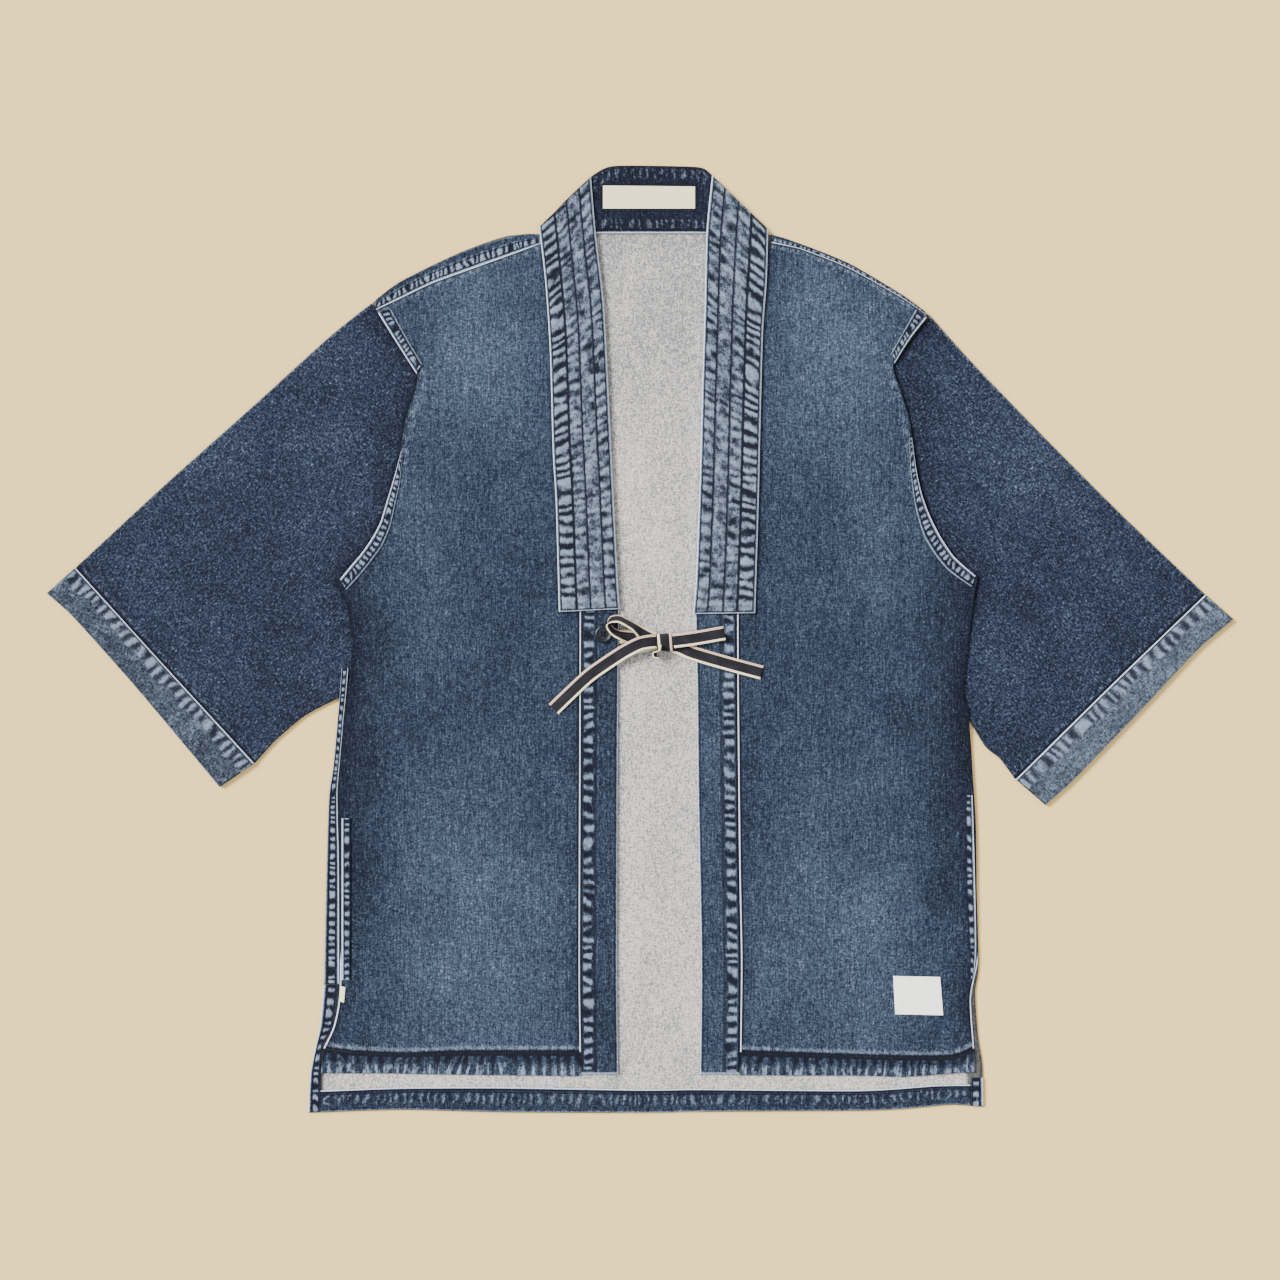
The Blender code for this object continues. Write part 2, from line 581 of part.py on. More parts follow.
def height_over(panel):
    """A function of a place, the height of a panel's upper face there."""
    mesh = bpy.data.objects[panel].data
    tree = BVHTree.FromPolygons([v.co for v in mesh.vertices], [tuple(face.vertices) for face in mesh.polygons])

    def at(x, y, u, v):
        place = tree.ray_cast(Vector((x, y, 100)) * MM, Vector((0, 0, -1)))[0]
        if place is None:
            place = tree.find_nearest(Vector((x, y, 10)) * MM)[0]
        return place.z / MM

    return at


def make_seams(cloth):
    """The flat-felled seams over the shoulders, round the armholes and down the side."""
    for side in ("right", "left"):
        table = SHOULDER_SEAM[side]
        corner = FRONT_SHOULDER[side][0]
        outer = smooth_line([(row.x, row.outer) for row in table])
        inner = smooth_line([(row.x, row.inner + GAP) for row in table])

        def lifted(x, y, u, v, corner=corner):
            return FRONT_LOW + arm_lift(math.hypot(x - corner.x, y - corner.y), y)

        slab("shoulder_seam_" + side, strip_between(outer, inner), even(2), even(14), lifted,
             raised(lifted, SEAM_STRIP), cloth["denim_washed"])
    for name, table in ARMHOLE_SEAM.items():
        on_front = height_over("front_" + name.split("_")[0])
        outer = smooth_line([(row.x0, row.y0) for row in table])
        inner = smooth_line([(row.x1, row.y1) for row in table])
        slab("armhole_seam_" + name, strip_between(outer, inner), even(2), even(16 if "lower" in name else 6),
             raised(on_front, GAP), raised(on_front, GAP + TOPSTITCHED_STRIP), cloth["denim_washed"])
    outer = smooth_line([(row.outer, row.y) for row in SIDE_SEAM])
    inner = smooth_line([(row.inner, row.y) for row in SIDE_SEAM])

    def side_lifted(x, y, u, v):
        return FRONT_LOW + arm_lift(0, y)

    slab("side_seam_right", strip_between(outer, inner), even(2), even(24), side_lifted,
         raised(side_lifted, SEAM_STRIP), cloth["denim_washed"])


def make_pockets(cloth):
    for side in ("right", "left"):
        table = POCKET_WELT[side]
        on_front = height_over("front_" + side)
        outer = smooth_line([(row.outer, row.y) for row in table])
        inner = smooth_line([(row.inner, row.y) for row in table])
        slab("pocket_welt_" + side, strip_between(outer, inner), even(2), even(8), raised(on_front, GAP),
             raised(on_front, GAP + TOPSTITCHED_STRIP), cloth["denim_washed"])


def make_labels(cloth):
    """The woven labels: one in the neck, a patch near the hem, and the end of a loop caught in the side."""
    labels = rows("name base x0 y0 x1 y1 x2 y2 x3 y3",
                  ("neck_label", "collar_back", -31.4, 386, 46.8, 385.2, 46.8, 366.3, -31.4, 366.3),
                  ("hem_label", "front_left", 215, -285.3, 255, -286.2, 257.6, -318.8, 216.8, -317.9),
                  ("side_tab", "front_right", -254.2, -294, -250.2, -295, -251.4, -308, -255.2, -307))
    for row in labels:
        base = height_over(row.base)
        top = smooth_line([(row.x0, row.y0), (row.x1, row.y1)])
        bottom = smooth_line([(row.x3, row.y3), (row.x2, row.y2)])
        slab(row.name, strip_between(top, bottom), even(4), even(4), raised(base, GAP),
             raised(base, GAP + LABEL), cloth["label_cloth"])


def make_button(cloth):
    """A four-hole button: a rimmed disc, turned from its section, with the holes cut through."""
    section = rows("radius z", (0.0, 0.0), (0.72, 0.0), (0.94, 0.4), (1.0, 1.3), (0.94, 2.4), (0.84, 2.7),
                   (0.72, 2.4), (0.62, 1.9), (0.0, 1.8))
    sides = 24
    bm = bmesh.new()
    points = [bm.verts.new(Vector((row.radius * BUTTON_RADIUS, 0, row.z)) * MM) for row in section]
    edges = [bm.edges.new(pair) for pair in zip(points, points[1:])]
    bmesh.ops.spin(bm, geom=points + edges, cent=(0, 0, 0), axis=(0, 0, 1), angle=math.tau, steps=sides,
                   use_duplicate=False)
    bmesh.ops.remove_doubles(bm, verts=bm.verts[:], dist=1e-6)
    button = finish_mesh("button", bm, cloth["button_resin"])
    button.location = Vector((*BUTTON_PLACE, FRONT_LOW + HEM + GAP)) * MM
    for quarter in range(4):
        angle = math.radians(45 + 90 * quarter)
        cutter_mesh = bpy.data.meshes.new("button_hole")
        hole = bmesh.new()
        bmesh.ops.create_cone(hole, cap_ends=True, segments=8, radius1=0.95 * MM, radius2=0.95 * MM,
                              depth=8 * MM)
        hole.to_mesh(cutter_mesh)
        hole.free()
        cutter = bpy.data.objects.new(f"button_hole_cutter_{quarter}", cutter_mesh)
        bpy.context.scene.collection.objects.link(cutter)
        cutter.parent = button
        cutter.location = Vector((2.0 * math.cos(angle), 2.0 * math.sin(angle), 1.0)) * MM
        cutter.hide_render = True
        cutter.display_type = "WIRE"
        cut = button.modifiers.new(f"hole_{quarter}", "BOOLEAN")
        cut.operation = "DIFFERENCE"
        cut.object = cutter


def make_tape(name, table, steps, material):
    """A flat woven tape along a path. Each row gives its middle and the way that its width points."""
    middle = smooth_line([(row.x, row.y, row.z) for row in table], tension=0.45)
    count = max(2, steps * (len(table) - 1))
    half_width, half = TAPE_WIDTH / 2, TAPE / 2
    step = 0.5 / count
    bm = bmesh.new()
    sections = []
    for share in even(count):
        centre = middle(share)
        along = middle(min(share + step, 1.0)) - middle(max(share - step, 0.0))
        along = along / np.linalg.norm(along)
        across = width_at(table, share)
        across = across - along * across.dot(along)
        across = across / np.linalg.norm(across)
        up = np.cross(along, across)
        corners = [centre + across * a + up * b
                   for a, b in ((-half_width, -half), (half_width, -half), (half_width, half), (-half_width, half))]
        sections.append([bm.verts.new(Vector(corner) * MM) for corner in corners])
    for one, two in zip(sections, sections[1:]):
        for i in range(4):
            k = (i + 1) % 4
            bm.faces.new((one[i], one[k], two[k], two[i]))
    bm.faces.new(sections[0])
    bm.faces.new(sections[-1][::-1])
    return finish_mesh(name, bm, material)


def width_at(table, share):
    """The way that a tape's width points at a share of its length, matched to its rows."""
    places = np.array([(row.x, row.y, row.z) for row in table])
    steps = np.linalg.norm(np.diff(places, axis=0), axis=1)
    stations = np.concatenate([[0.0], np.cumsum(steps)]) / steps.sum()
    columns = np.array([(row.ax, row.ay, row.az) for row in table])
    return np.array([np.interp(share, stations, columns[:, i]) for i in range(3)])


def make_tie(cloth):
    for name, table in TAPES.items():
        make_tape(name, table, TAPE_STEPS.get(name, 3), cloth["tape"])
    bm = bmesh.new()
    bmesh.ops.create_cube(bm, size=1.0)
    for vertex in bm.verts:
        vertex.co = Vector([vertex.co[i] * KNOT_SIZE[i] + KNOT_MIDDLE[i] for i in range(3)]) * MM
    knot = finish_mesh("tie_knot", bm, cloth["tape"])
    rounding = knot.modifiers.new("rounding", "BEVEL")
    rounding.width = 2.6 * MM
    rounding.segments = 3


def main():
    clear_scene()
    cloth = make_materials()
    make_back(cloth)
    make_fronts(cloth)
    make_sleeves(cloth)
    make_cuffs(cloth)
    make_collar(cloth)
    make_facings_and_hems(cloth)
    make_seams(cloth)
    make_pockets(cloth)
    make_labels(cloth)
    make_button(cloth)
    make_tie(cloth)


main()
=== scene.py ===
"""The looks of the denim kimono jacket: fine cloth, seams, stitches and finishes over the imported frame.

Lengths are in millimetres until a mesh is made. Left and right in the names are the wearer's, so right is
at -X.
"""

import math
from collections import namedtuple

import bpy
import numpy as np
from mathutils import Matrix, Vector
from mathutils.bvhtree import BVHTree


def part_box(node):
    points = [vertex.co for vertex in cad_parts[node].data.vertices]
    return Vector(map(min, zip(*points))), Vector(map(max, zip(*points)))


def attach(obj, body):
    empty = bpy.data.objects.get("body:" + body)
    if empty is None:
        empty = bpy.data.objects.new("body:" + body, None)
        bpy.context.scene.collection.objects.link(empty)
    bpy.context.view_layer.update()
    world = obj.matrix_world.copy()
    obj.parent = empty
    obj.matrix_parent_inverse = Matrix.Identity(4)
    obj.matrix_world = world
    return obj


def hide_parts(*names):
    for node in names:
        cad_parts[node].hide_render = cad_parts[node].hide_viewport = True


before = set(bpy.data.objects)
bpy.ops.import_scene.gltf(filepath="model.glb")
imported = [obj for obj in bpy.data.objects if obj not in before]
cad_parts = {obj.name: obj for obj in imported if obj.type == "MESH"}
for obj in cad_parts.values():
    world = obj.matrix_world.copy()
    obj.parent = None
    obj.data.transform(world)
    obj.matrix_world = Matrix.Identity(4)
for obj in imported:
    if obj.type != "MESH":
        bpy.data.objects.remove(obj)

MM = 0.001
PX = 0.85

# Thicknesses and layers, as in the frame.
GAP = 0.3
CLOTH = 1.2
HEM = 2.1
SEAM_STRIP = 1.5
TOPSTITCHED_STRIP = 0.8
COLLAR = 3.0
LABEL = 0.6
TAPE_WIDTH = 12.0
BACK_TOP = CLOTH
FRONT_LOW = BACK_TOP + GAP
COLLAR_BACK_TOP = 2.8
COLLAR_LOW = COLLAR_BACK_TOP + GAP
ARM_LIFT = 2.4
ARM_LIFT_REACH = 60.0
ARM_LIFT_END = -95.0
ARM_LIFT_EASE = 40.0
COLLAR_GROOVE = 0.8
NECK_SEAM_Y = 345.6
FACING_START_Y = 32.0
LEAST_FLAT_SIDE = 0.0101
SLEEVE_GRAIN = {"right": 41.5, "left": -45.5}


def rows(columns, *values):
    """A short table: named columns, and one row for each section, point or fold."""
    row = namedtuple("Row", columns)
    return [row(*value) for value in values]


# The outlines, a row for each point that turns them, where the frame's pieces have them.
ARMHOLE = {
    "right": rows("x y", (-227.8, 286.4), (-203, 253), (-183, 222), (-186, 190), (-195, 156), (-204, 130),
                  (-217, 98), (-229, 74), (-238, 48), (-239, 20), (-239, -5), (-243, -26), (-251, -47)),
    "left": rows("x y", (245.7, 276.2), (226, 250), (209, 230), (214, 200), (221, 165), (230, 135),
                 (241, 104), (252, 76), (261, 48), (266, 18), (267, -14), (269, -42), (276, -62)),
}
BACK_SIDE = {
    "right": rows("x y", (-251, -47), (-257, -72), (-261, -110), (-264.5, -134), (-266.5, -191), (-268, -272),
                  (-270, -306), (-274, -340), (-279.5, -362), (-281.5, -384), (-282, -402)),
    "left": rows("x y", (276, -62), (281, -83), (283, -118), (285.5, -191), (288, -274), (285, -300),
                 (287.5, -338), (291, -360), (291.6, -384), (291.6, -397)),
}
BACK_TOP_EDGE = rows("x y", (-227.8, 286.4), (-209.9, 300.5), (-188.7, 312.8), (-151.3, 330.4),
                     (-113.9, 343.4), (-85, 345), (-34, 345), (54.4, 345), (108.8, 345), (137.7, 336.6),
                     (177.7, 320.4), (221, 294.9), (245.7, 276.2))
BACK_HEM_EDGE = rows("x y", (-282, -402), (-204, -399.5), (-119, -401.5), (0, -402.1), (51, -401.2),
                     (187, -400.3), (226, -398.6), (265, -395.2), (291.6, -397))
FRONT_SIDE = {
    "right": rows("x y", (-223.5, 279.6), (-206.5, 252.4), (-188.7, 224.4), (-198.9, 187), (-204, 156.4),
                  (-209.1, 137.7), (-221, 99.5), (-236.3, 73.1), (-255.8, 51), (-247, 31), (-243.9, 4.2),
                  (-246.5, -29.8), (-250.8, -62.9), (-255, -109.6), (-256.7, -140.2), (-255.4, -178.5),
                  (-255, -293.2), (-260.1, -327.2), (-269, -347)),
    "left": rows("x y", (243.9, 274.6), (229, 254), (215, 232.9), (221, 212.5), (228.7, 187), (233, 157),
                 (239.7, 123.2), (255, 86.7), (275.4, 62), (286.4, 53.5), (283.1, 32), (274.6, -41.6),
                 (279, -62), (283.1, -118.1), (285.6, -161.5), (286.4, -248.2), (287, -273.7),
                 (281.3, -304.3), (283.9, -347)),
}
FRONT_SHOULDER = {
    "right": rows("x y", (-223.5, 279.6), (-175.9, 302.6), (-138.5, 316.2), (-101.1, 329.8), (-80, 337.5),
                  (-50.1, 339)),
    "left": rows("x y", (243.9, 274.6), (221, 290.5), (177.7, 315), (137.7, 331), (108.8, 337), (84.1, 339)),
}
FRONT_EDGE_SEAM = {
    "right": rows("x y", (-50.1, 339), (-50.1, 17), (-51, -272), (-50.1, -350.2)),
    "left": rows("x y", (84.1, 339), (82.5, 20.4), (84.1, -178.5), (85.8, -272), (85, -350.2)),
}
HEM_SEAM = {
    "right": rows("x y", (-269, -347), (-240, -350.5), (-197.2, -351.9), (-150.4, -350.2), (-50.1, -350.2)),
    "left": rows("x y", (283.9, -347), (265, -354), (226.1, -354.5), (187, -353.6), (85, -350.2)),
}
HEM_EDGE = {
    "right": rows("x y", (-270.5, -368.1), (-215, -368.1), (-178.5, -368.9), (-50.1, -370.6)),
    "left": rows("x y", (283.9, -367.2), (265.2, -368.1), (226.1, -371), (187, -370.2), (85, -369.8)),
}
FACING_INNER = {
    "right": rows("x y", (-17.8, 32), (-18.7, -51), (-19.6, -272), (-18.7, -368.9)),
    "left": rows("x y", (46.8, 32), (48.4, -51), (49.3, -136), (51.9, -272), (51, -368.9)),
}
COLLAR_OUTER = {
    "right": rows("x y", (-85.8, 350.5), (-80.5, 305), (-76.5, 246), (-74, 160.7), (-71.4, 114.8),
                  (-68.8, 23.8)),
    "left": rows("x y", (108.8, 348.5), (107.6, 305), (104.5, 262.6), (102.4, 190), (100.7, 114.8),
                 (97.8, 22.9)),
}
COLLAR_INNER = {
    "right": rows("x y", (-41.6, 392.7), (-37.4, 343.4), (-30.6, 283.9), (-25.5, 183.6), (-22.9, 130),
                  (-18.7, 46.8), (-17, 26.3)),
    "left": rows("x y", (61.2, 394.4), (56.5, 346.8), (54.8, 278.8), (52.7, 212.5), (51, 145.3), (47.6, 54.4),
                 (45, 22.1)),
}
COLLAR_BACK_EDGE = rows("x y", (-83.5, 352), (-63.8, 373.1), (-42.6, 393), (-31.4, 400.3), (-22.1, 402.9),
                        (1.7, 403.2), (49.3, 401.9), (60.4, 395.8), (84.1, 371.4), (106.5, 350.2))
COLLAR_BACK_LOW = rows("x y", (-83.5, 345.6), (-34, 345.6), (11, 345.6), (54.4, 345.6), (106.5, 345.6))
SLEEVE_FOLD = {
    "right": rows("x y", (-227.8, 286.4), (-265, 257), (-330, 198), (-405, 131), (-479.4, 62)),
    "left": rows("x y", (245.7, 276.2), (284, 234), (346, 170), (410, 106), (480.2, 39.1)),
}
SLEEVE_UNDER = {
    "right": rows("x y", (-251, -47), (-283.9, -63.8), (-309.4, -85), (-327.2, -104.5)),
    "left": rows("x y", (276, -62), (293, -90), (306, -101.1), (318.8, -118.1)),
}
CUFF_SEAM = {
    "right": rows("x y", (-479.4, 62), (-404, -21), (-327.2, -104.5)),
    "left": rows("x y", (480.2, 39.1), (398, -40), (318.8, -118.1)),
}
CUFF_EDGE = {
    "right": rows("x y", (-504.1, 39.9), (-481, 19), (-430, -38), (-372, -107), (-357, -125)),
    "left": rows("x y", (504.1, 17.8), (474, -8), (425, -60), (370, -117), (344.2, -140.2)),
}
SHOULDER_SEAM = {
    "right": rows("x outer inner", (-224, 289.1, 279.7), (-205, 303.6, 288.8), (-176, 318.5, 302.9),
                  (-138, 334.5, 316.7), (-101, 344.6, 330.1), (-84, 344.8, 336.6)),
    "left": rows("x outer inner", (243, 278, 275.6), (221, 294.5, 291), (178, 320, 315.4),
                 (138, 336.2, 331.3), (112, 344.5, 337.1)),
}
ARMHOLE_SEAM = {
    "right_upper": rows("x0 y0 x1 y1", (-222.2, 277.4, -211.5, 281.2), (-206, 251.4, -198, 256.4),
                        (-189.6, 225.8, -184.5, 233.5)),
    "right_lower": rows("x0 y0 x1 y1", (-202.6, 160, -200.6, 161), (-208.4, 138.5, -203.4, 135),
                        (-214.6, 118.1, -207, 118), (-220.4, 99.5, -211.9, 96.2), (-227.4, 86.3, -219, 79.8),
                        (-236, 73.8, -228.1, 67), (-245.4, 62.6, -239, 53.4), (-254.4, 51.6, -249, 42.5)),
    "left_upper": rows("x0 y0 x1 y1", (243, 273.4, 234, 280.4), (229, 255.6, 223, 260.6),
                       (216, 234.8, 213, 243)),
    "left_lower": rows("x0 y0 x1 y1", (230.8, 171.7, 228.4, 172), (234.2, 145.3, 229.6, 143),
                       (239.2, 123.2, 233.6, 113), (245.8, 105.4, 240.6, 89), (255, 87.4, 251, 71.6),
                       (265.6, 71.6, 260.4, 60.4), (275, 62.6, 270, 52.6), (284.6, 54.4, 281.4, 45)),
}
SIDE_SEAM = rows("y outer inner", (-24, -253.2, -247.6), (-47, -254.8, -249.6), (-72, -257.2, -252.2),
                 (-110, -261, -255.7), (-134, -264.4, -257.2), (-191, -266.4, -255.9), (-292, -268.6, -255.7))
VENT_FACING = {
    "right": rows("y outer inner", (-293, -268.9, -256.2), (-327, -272, -261), (-345, -275.5, -270),
                  (-366, -280, -271.7), (-384, -281.4, -271.7), (-401, -281.9, -271.7)),
    "left": rows("y outer inner", (-372, 291.2, 281.5), (-384, 291.5, 281.2), (-396, 291.5, 281)),
}
BACK_HEM_TOP = rows("x y", (-271.4, -383), (-204, -380.5), (-119, -380), (0, -382), (51, -381.5),
                    (187, -382.5), (250, -378.5), (280.7, -378))
POCKET_WELT = {
    "right": rows("y outer inner", (-151.3, -253.3, -245.9), (-220, -253.3, -245.7), (-289, -253.3, -245.9)),
    "left": rows("y outer inner", (-131.8, 282.4, 276.6), (-200, 284.4, 276.8), (-262, 285.4, 279.8),
                 (-288, 283.2, 280.6)),
}
LABELS = rows("name base x0 y0 x1 y1 x2 y2 x3 y3",
              ("neck_label", "collar_back", -31.4, 386, 46.8, 385.2, 46.8, 366.3, -31.4, 366.3),
              ("hem_label", "front_left", 215, -285.3, 255, -286.2, 257.6, -318.8, 216.8, -317.9),
              ("side_tab", "front_right", -254.2, -294, -250.2, -295, -251.4, -308, -255.2, -307))

# Soft folds: where each runs, how far, how wide across its foot, and how high it stands. The first of each
# piece are in the frame's solids too, and the lower ones only here.
FOLDS = rows("piece x y heading length width height",
             ("front_right", -222, -22, -68, 62, 15, 1.7),
             ("front_right", -186, 112, -84, 60, 20, 1.2),
             ("front_right", -150, 250, -40, 46, 20, 1.0),
             ("front_right", -190, -250, 80, 80, 26, 1.0),
             ("front_left", 248, -40, -40, 34, 12, 1.9),
             ("front_left", 205, 100, -97, 66, 22, 1.2),
             ("front_left", 178, 246, -150, 48, 20, 1.0),
             ("front_left", 215, -210, 96, 90, 26, 1.0),
             ("sleeve_right", -330, -32, 96, 38, 11, 1.6),
             ("sleeve_right", -262, 140, 66, 70, 20, 1.4),
             ("sleeve_right", -385, 70, 40, 80, 26, 1.0),
             ("sleeve_left", 322, -60, 62, 42, 12, 1.6),
             ("sleeve_left", 275, 120, 118, 74, 20, 1.4),
             ("sleeve_left", 392, 45, 138, 80, 26, 1.0))
TAPES = {
    "tie_tail_right": rows("x y z ax ay az", (13.9, -1.2, 7.4, 0, 1, 0), (8, -1.6, 9.1, 0, 1, 0),
                           (0, -3.2, 10.8, -0.25, 1, 0), (-8, -7, 10.4, -0.5, 1, 0),
                           (-15, -10.9, 8.4, -0.62, 1, 0), (-28.7, -19.9, 5.2, -0.7, 1, 0),
                           (-43.7, -30.7, 4.5, -0.8, 1, 0), (-59.9, -45.7, 3.9, -0.95, 1, 0),
                           (-73.3, -58.7, 3.6, -1, 1, 0)),
    "tie_tail_left": rows("x y z ax ay az", (28.8, -5, 3.6, 0, 1, 0), (35, -7, 3.9, 0.2, 1, 0),
                          (43.5, -10.8, 4.7, 0.3, 1, 0), (60, -15.8, 4.8, 0.28, 1, 0),
                          (78, -20.9, 4.6, 0.27, 1, 0), (92, -24.7, 3.9, 0.26, 1, 0),
                          (103.6, -27.8, 3.6, 0.26, 1, 0)),
    "tie_loop_right": rows("x y z ax ay az", (13.4, 0.6, 5.1, 0, 1, 0), (9, 1.6, 5.2, 0.1, 1, -0.1),
                           (2, 5.6, 5.6, 0.1, 0.95, -0.3), (-5.2, 11.2, 8.3, 0.11, 0.6, -0.8),
                           (-12, 15.2, 9.9, 0.11, 0.52, -0.85), (-18, 17.9, 10, 0.11, 0.52, -0.85),
                           (-24, 17.2, 10, 0.11, 0.52, -0.85), (-26.8, 13.4, 10, 0.11, 0.52, -0.85),
                           (-23.5, 7.8, 9.9, 0.11, 0.52, -0.85), (-17.5, 4.4, 8.4, 0.11, 0.62, -0.78),
                           (-11.5, 2.8, 5.6, 0.08, 0.9, -0.4), (-5, 1.9, 4.3, 0, 1, -0.15),
                           (5, 0.4, 3.6, 0, 1, 0), (13.9, -0.5, 3.6, 0, 1, 0)),
    "tie_loop_left": rows("x y z ax ay az", (28.4, -0.8, 8, 0, 1, 0), (38, 0.3, 8, -0.13, 1, 0),
                          (49.3, 1.95, 7.6, -0.15, 1, 0), (62, 4.2, 6.9, -0.18, 1, 0),
                          (70, 5.6, 6.4, -0.18, 1, 0), (71.5, 5.9, 5.7, -0.18, 1, 0),
                          (70, 5.6, 5, -0.18, 1, 0), (60, 3.8, 5.2, -0.18, 1, 0), (48, 1.8, 5.8, -0.15, 1, 0),
                          (36, 0, 6, -0.1, 1, 0), (28.4, -1, 6, 0, 1, 0)),
    "tie_root_right": rows("x y z ax ay az", (-16.6, -7, 2.1, 0.14, 1, 0), (13.6, -2.5, 2.2, 0.14, 1, 0)),
    "tie_root_left": rows("x y z ax ay az", (28.9, -2.5, 2.2, -0.2, 1, 0), (45.6, 1.3, 2.1, -0.2, 1, 0)),
}
KNOT_MIDDLE = (21.05, -2.0, 5.4)
KNOT_SIZE = (12.6, 15.6, 7.6)

# Where wash and wear have made the cloth lighter or left it darker; the two rows with a negative amount,
# along the fronts' sides, are painted shade.
WEAR_AND_SHADE = rows("piece x y across along amount",
            ("front_right", -130, 250, 60, 90, 0.82), ("front_right", -140, -260, 85, 130, 0.68),
            ("front_right", -240, -120, 26, 200, -0.5), ("front_right", -190, 90, 34, 90, 0.35),
            ("front_left", 160, 250, 60, 90, 0.82), ("front_left", 170, -260, 85, 120, 0.58),
            ("front_left", 270, -100, 26, 200, -0.6), ("front_left", 200, 90, 34, 90, 0.3),
            ("sleeve_right", -300, 170, 90, 60, 0.2), ("sleeve_left", 320, 150, 90, 60, 0.2))


CUFF_WEAR = {"right": -0.24, "left": 0.22}
FACING_WEAR = {"right": -0.05, "left": 0.30}


# Smooth lines, patches and noise.

def ease(value):
    """0 below 0, 1 above 1, and a smooth step between them."""
    value = np.clip(value, 0.0, 1.0)
    return value * value * (3 - 2 * value)


class Line:
    """A smooth line through points, read by the share of its length, for one share or many."""

    def __init__(self, points, tension=0.36):
        self.points = np.array(points, float)
        before = np.vstack([self.points[:1], self.points[:-1]])
        after = np.vstack([self.points[1:], self.points[-1:]])
        self.tangents = tension * (after - before)
        self.tangents[0] *= 2
        self.tangents[-1] *= 2
        steps = np.linalg.norm(np.diff(self.points, axis=0), axis=1)
        self.length = float(steps.sum())
        self.stations = np.concatenate([[0.0], np.cumsum(steps)]) / self.length

    def __call__(self, share):
        share = np.clip(np.asarray(share, float), 0.0, 1.0)
        index = np.clip(np.searchsorted(self.stations, share, side="right") - 1, 0, len(self.points) - 2)
        span = self.stations[index + 1] - self.stations[index]
        t = ((share - self.stations[index]) / span)[..., None]
        return ((2 * t**3 - 3 * t**2 + 1) * self.points[index] + (t**3 - 2 * t**2 + t) * self.tangents[index]
                + (3 * t**2 - 2 * t**3) * self.points[index + 1] + (t**3 - t**2) * self.tangents[index + 1])


def line_of(table):
    return Line([(row.x, row.y) for row in table])


def moved_line(line, offset):
    return lambda share: line(share) + np.array(offset)


def patch_between(top, bottom, left, right):
    """A patch that fills four edges. Top and bottom run from left to right, the others downwards."""

    def at(u, v):
        a, b = u[..., None], v[..., None]
        corners = ((1 - a) * (1 - b) * top(0.0) + a * (1 - b) * top(1.0)
                   + (1 - a) * b * bottom(0.0) + a * b * bottom(1.0))
        return (1 - b) * top(u) + b * bottom(u) + (1 - a) * left(v) + a * right(v) - corners

    return at


def strip_between(first, second):
    """A ruled strip: u goes across from the first line to the second, and v along both."""

    def at(u, v):
        a = u[..., None]
        return (1 - a) * first(v) + a * second(v)

    return at


def spaced(width, pitch, roll=0.0, fine=0.0, fine_pitch=0.7):
    """Stations from 0 to 1 over a width: a pitch apart, finer beside both edges, finest where they roll."""
    start = max(roll, fine)
    inner = np.linspace(start, width - start, max(2, round((width - 2 * start) / pitch) + 1))
    near = np.arange(roll, fine, fine_pitch) if fine > roll else np.array([])
    close = np.array([0.0, 0.12, 0.45]) * roll if roll else np.array([0.0] if fine else [])
    edge = np.unique(np.concatenate([close, near]))
    return np.unique(np.concatenate([edge, inner, width - edge])) / width


def lattice(x, y, seed):
    """Smooth noise from 0 to 1, a new value at each whole number."""
    xi, yi = np.floor(x).astype(np.int64), np.floor(y).astype(np.int64)
    fx, fy = ease(x - xi), ease(y - yi)

    def value(i, j):
        mixed = (i * 374761393 + j * 668265263 + seed * 974634777) & 0x7FFFFFFF
        mixed = ((mixed ^ (mixed >> 13)) * 1274126177) & 0x7FFFFFFF
        return ((mixed ^ (mixed >> 16)) & 0xFFFF) / 65535.0

    low = value(xi, yi) * (1 - fx) + value(xi + 1, yi) * fx
    high = value(xi, yi + 1) * (1 - fx) + value(xi + 1, yi + 1) * fx
    return low * (1 - fy) + high * fy


def puckers(along, across, pitch, seed):
    """Uneven rungs across a seam, from -1 in the hollows to 1 on the ridges."""
    drift = (1.0 * (lattice(along / (2.3 * pitch), across / (9 * pitch), seed) - 0.5)
             + 0.55 * (lattice(along / (0.9 * pitch), across / (0.7 * pitch), seed + 3) - 0.5))
    vary = (1.1 * (lattice(along / (0.6 * pitch), across / (0.6 * pitch), seed + 5) - 0.5)
            + 0.9 * (lattice(along / (0.25 * pitch), across / (0.22 * pitch), seed + 9) - 0.5))
    return np.clip(1.05 * np.cos(2 * math.pi * (along / pitch + drift)) + vary, -1, 1)


def blots(x, y, size, seed):
    """Soft blots about a size across, from -1 to 1."""
    fine = lattice(x / (0.6 * size), y / (0.6 * size), seed + 2)
    return np.clip(2.6 * (0.65 * lattice(x / size, y / size, seed) + 0.35 * fine - 0.5), -1, 1)


def window(value, low, high, soft=0.4):
    """1 from low to high, and 0 outside, with soft flanks."""
    return ease((value - low) / soft + 0.5) * ease((high - value) / soft + 0.5)


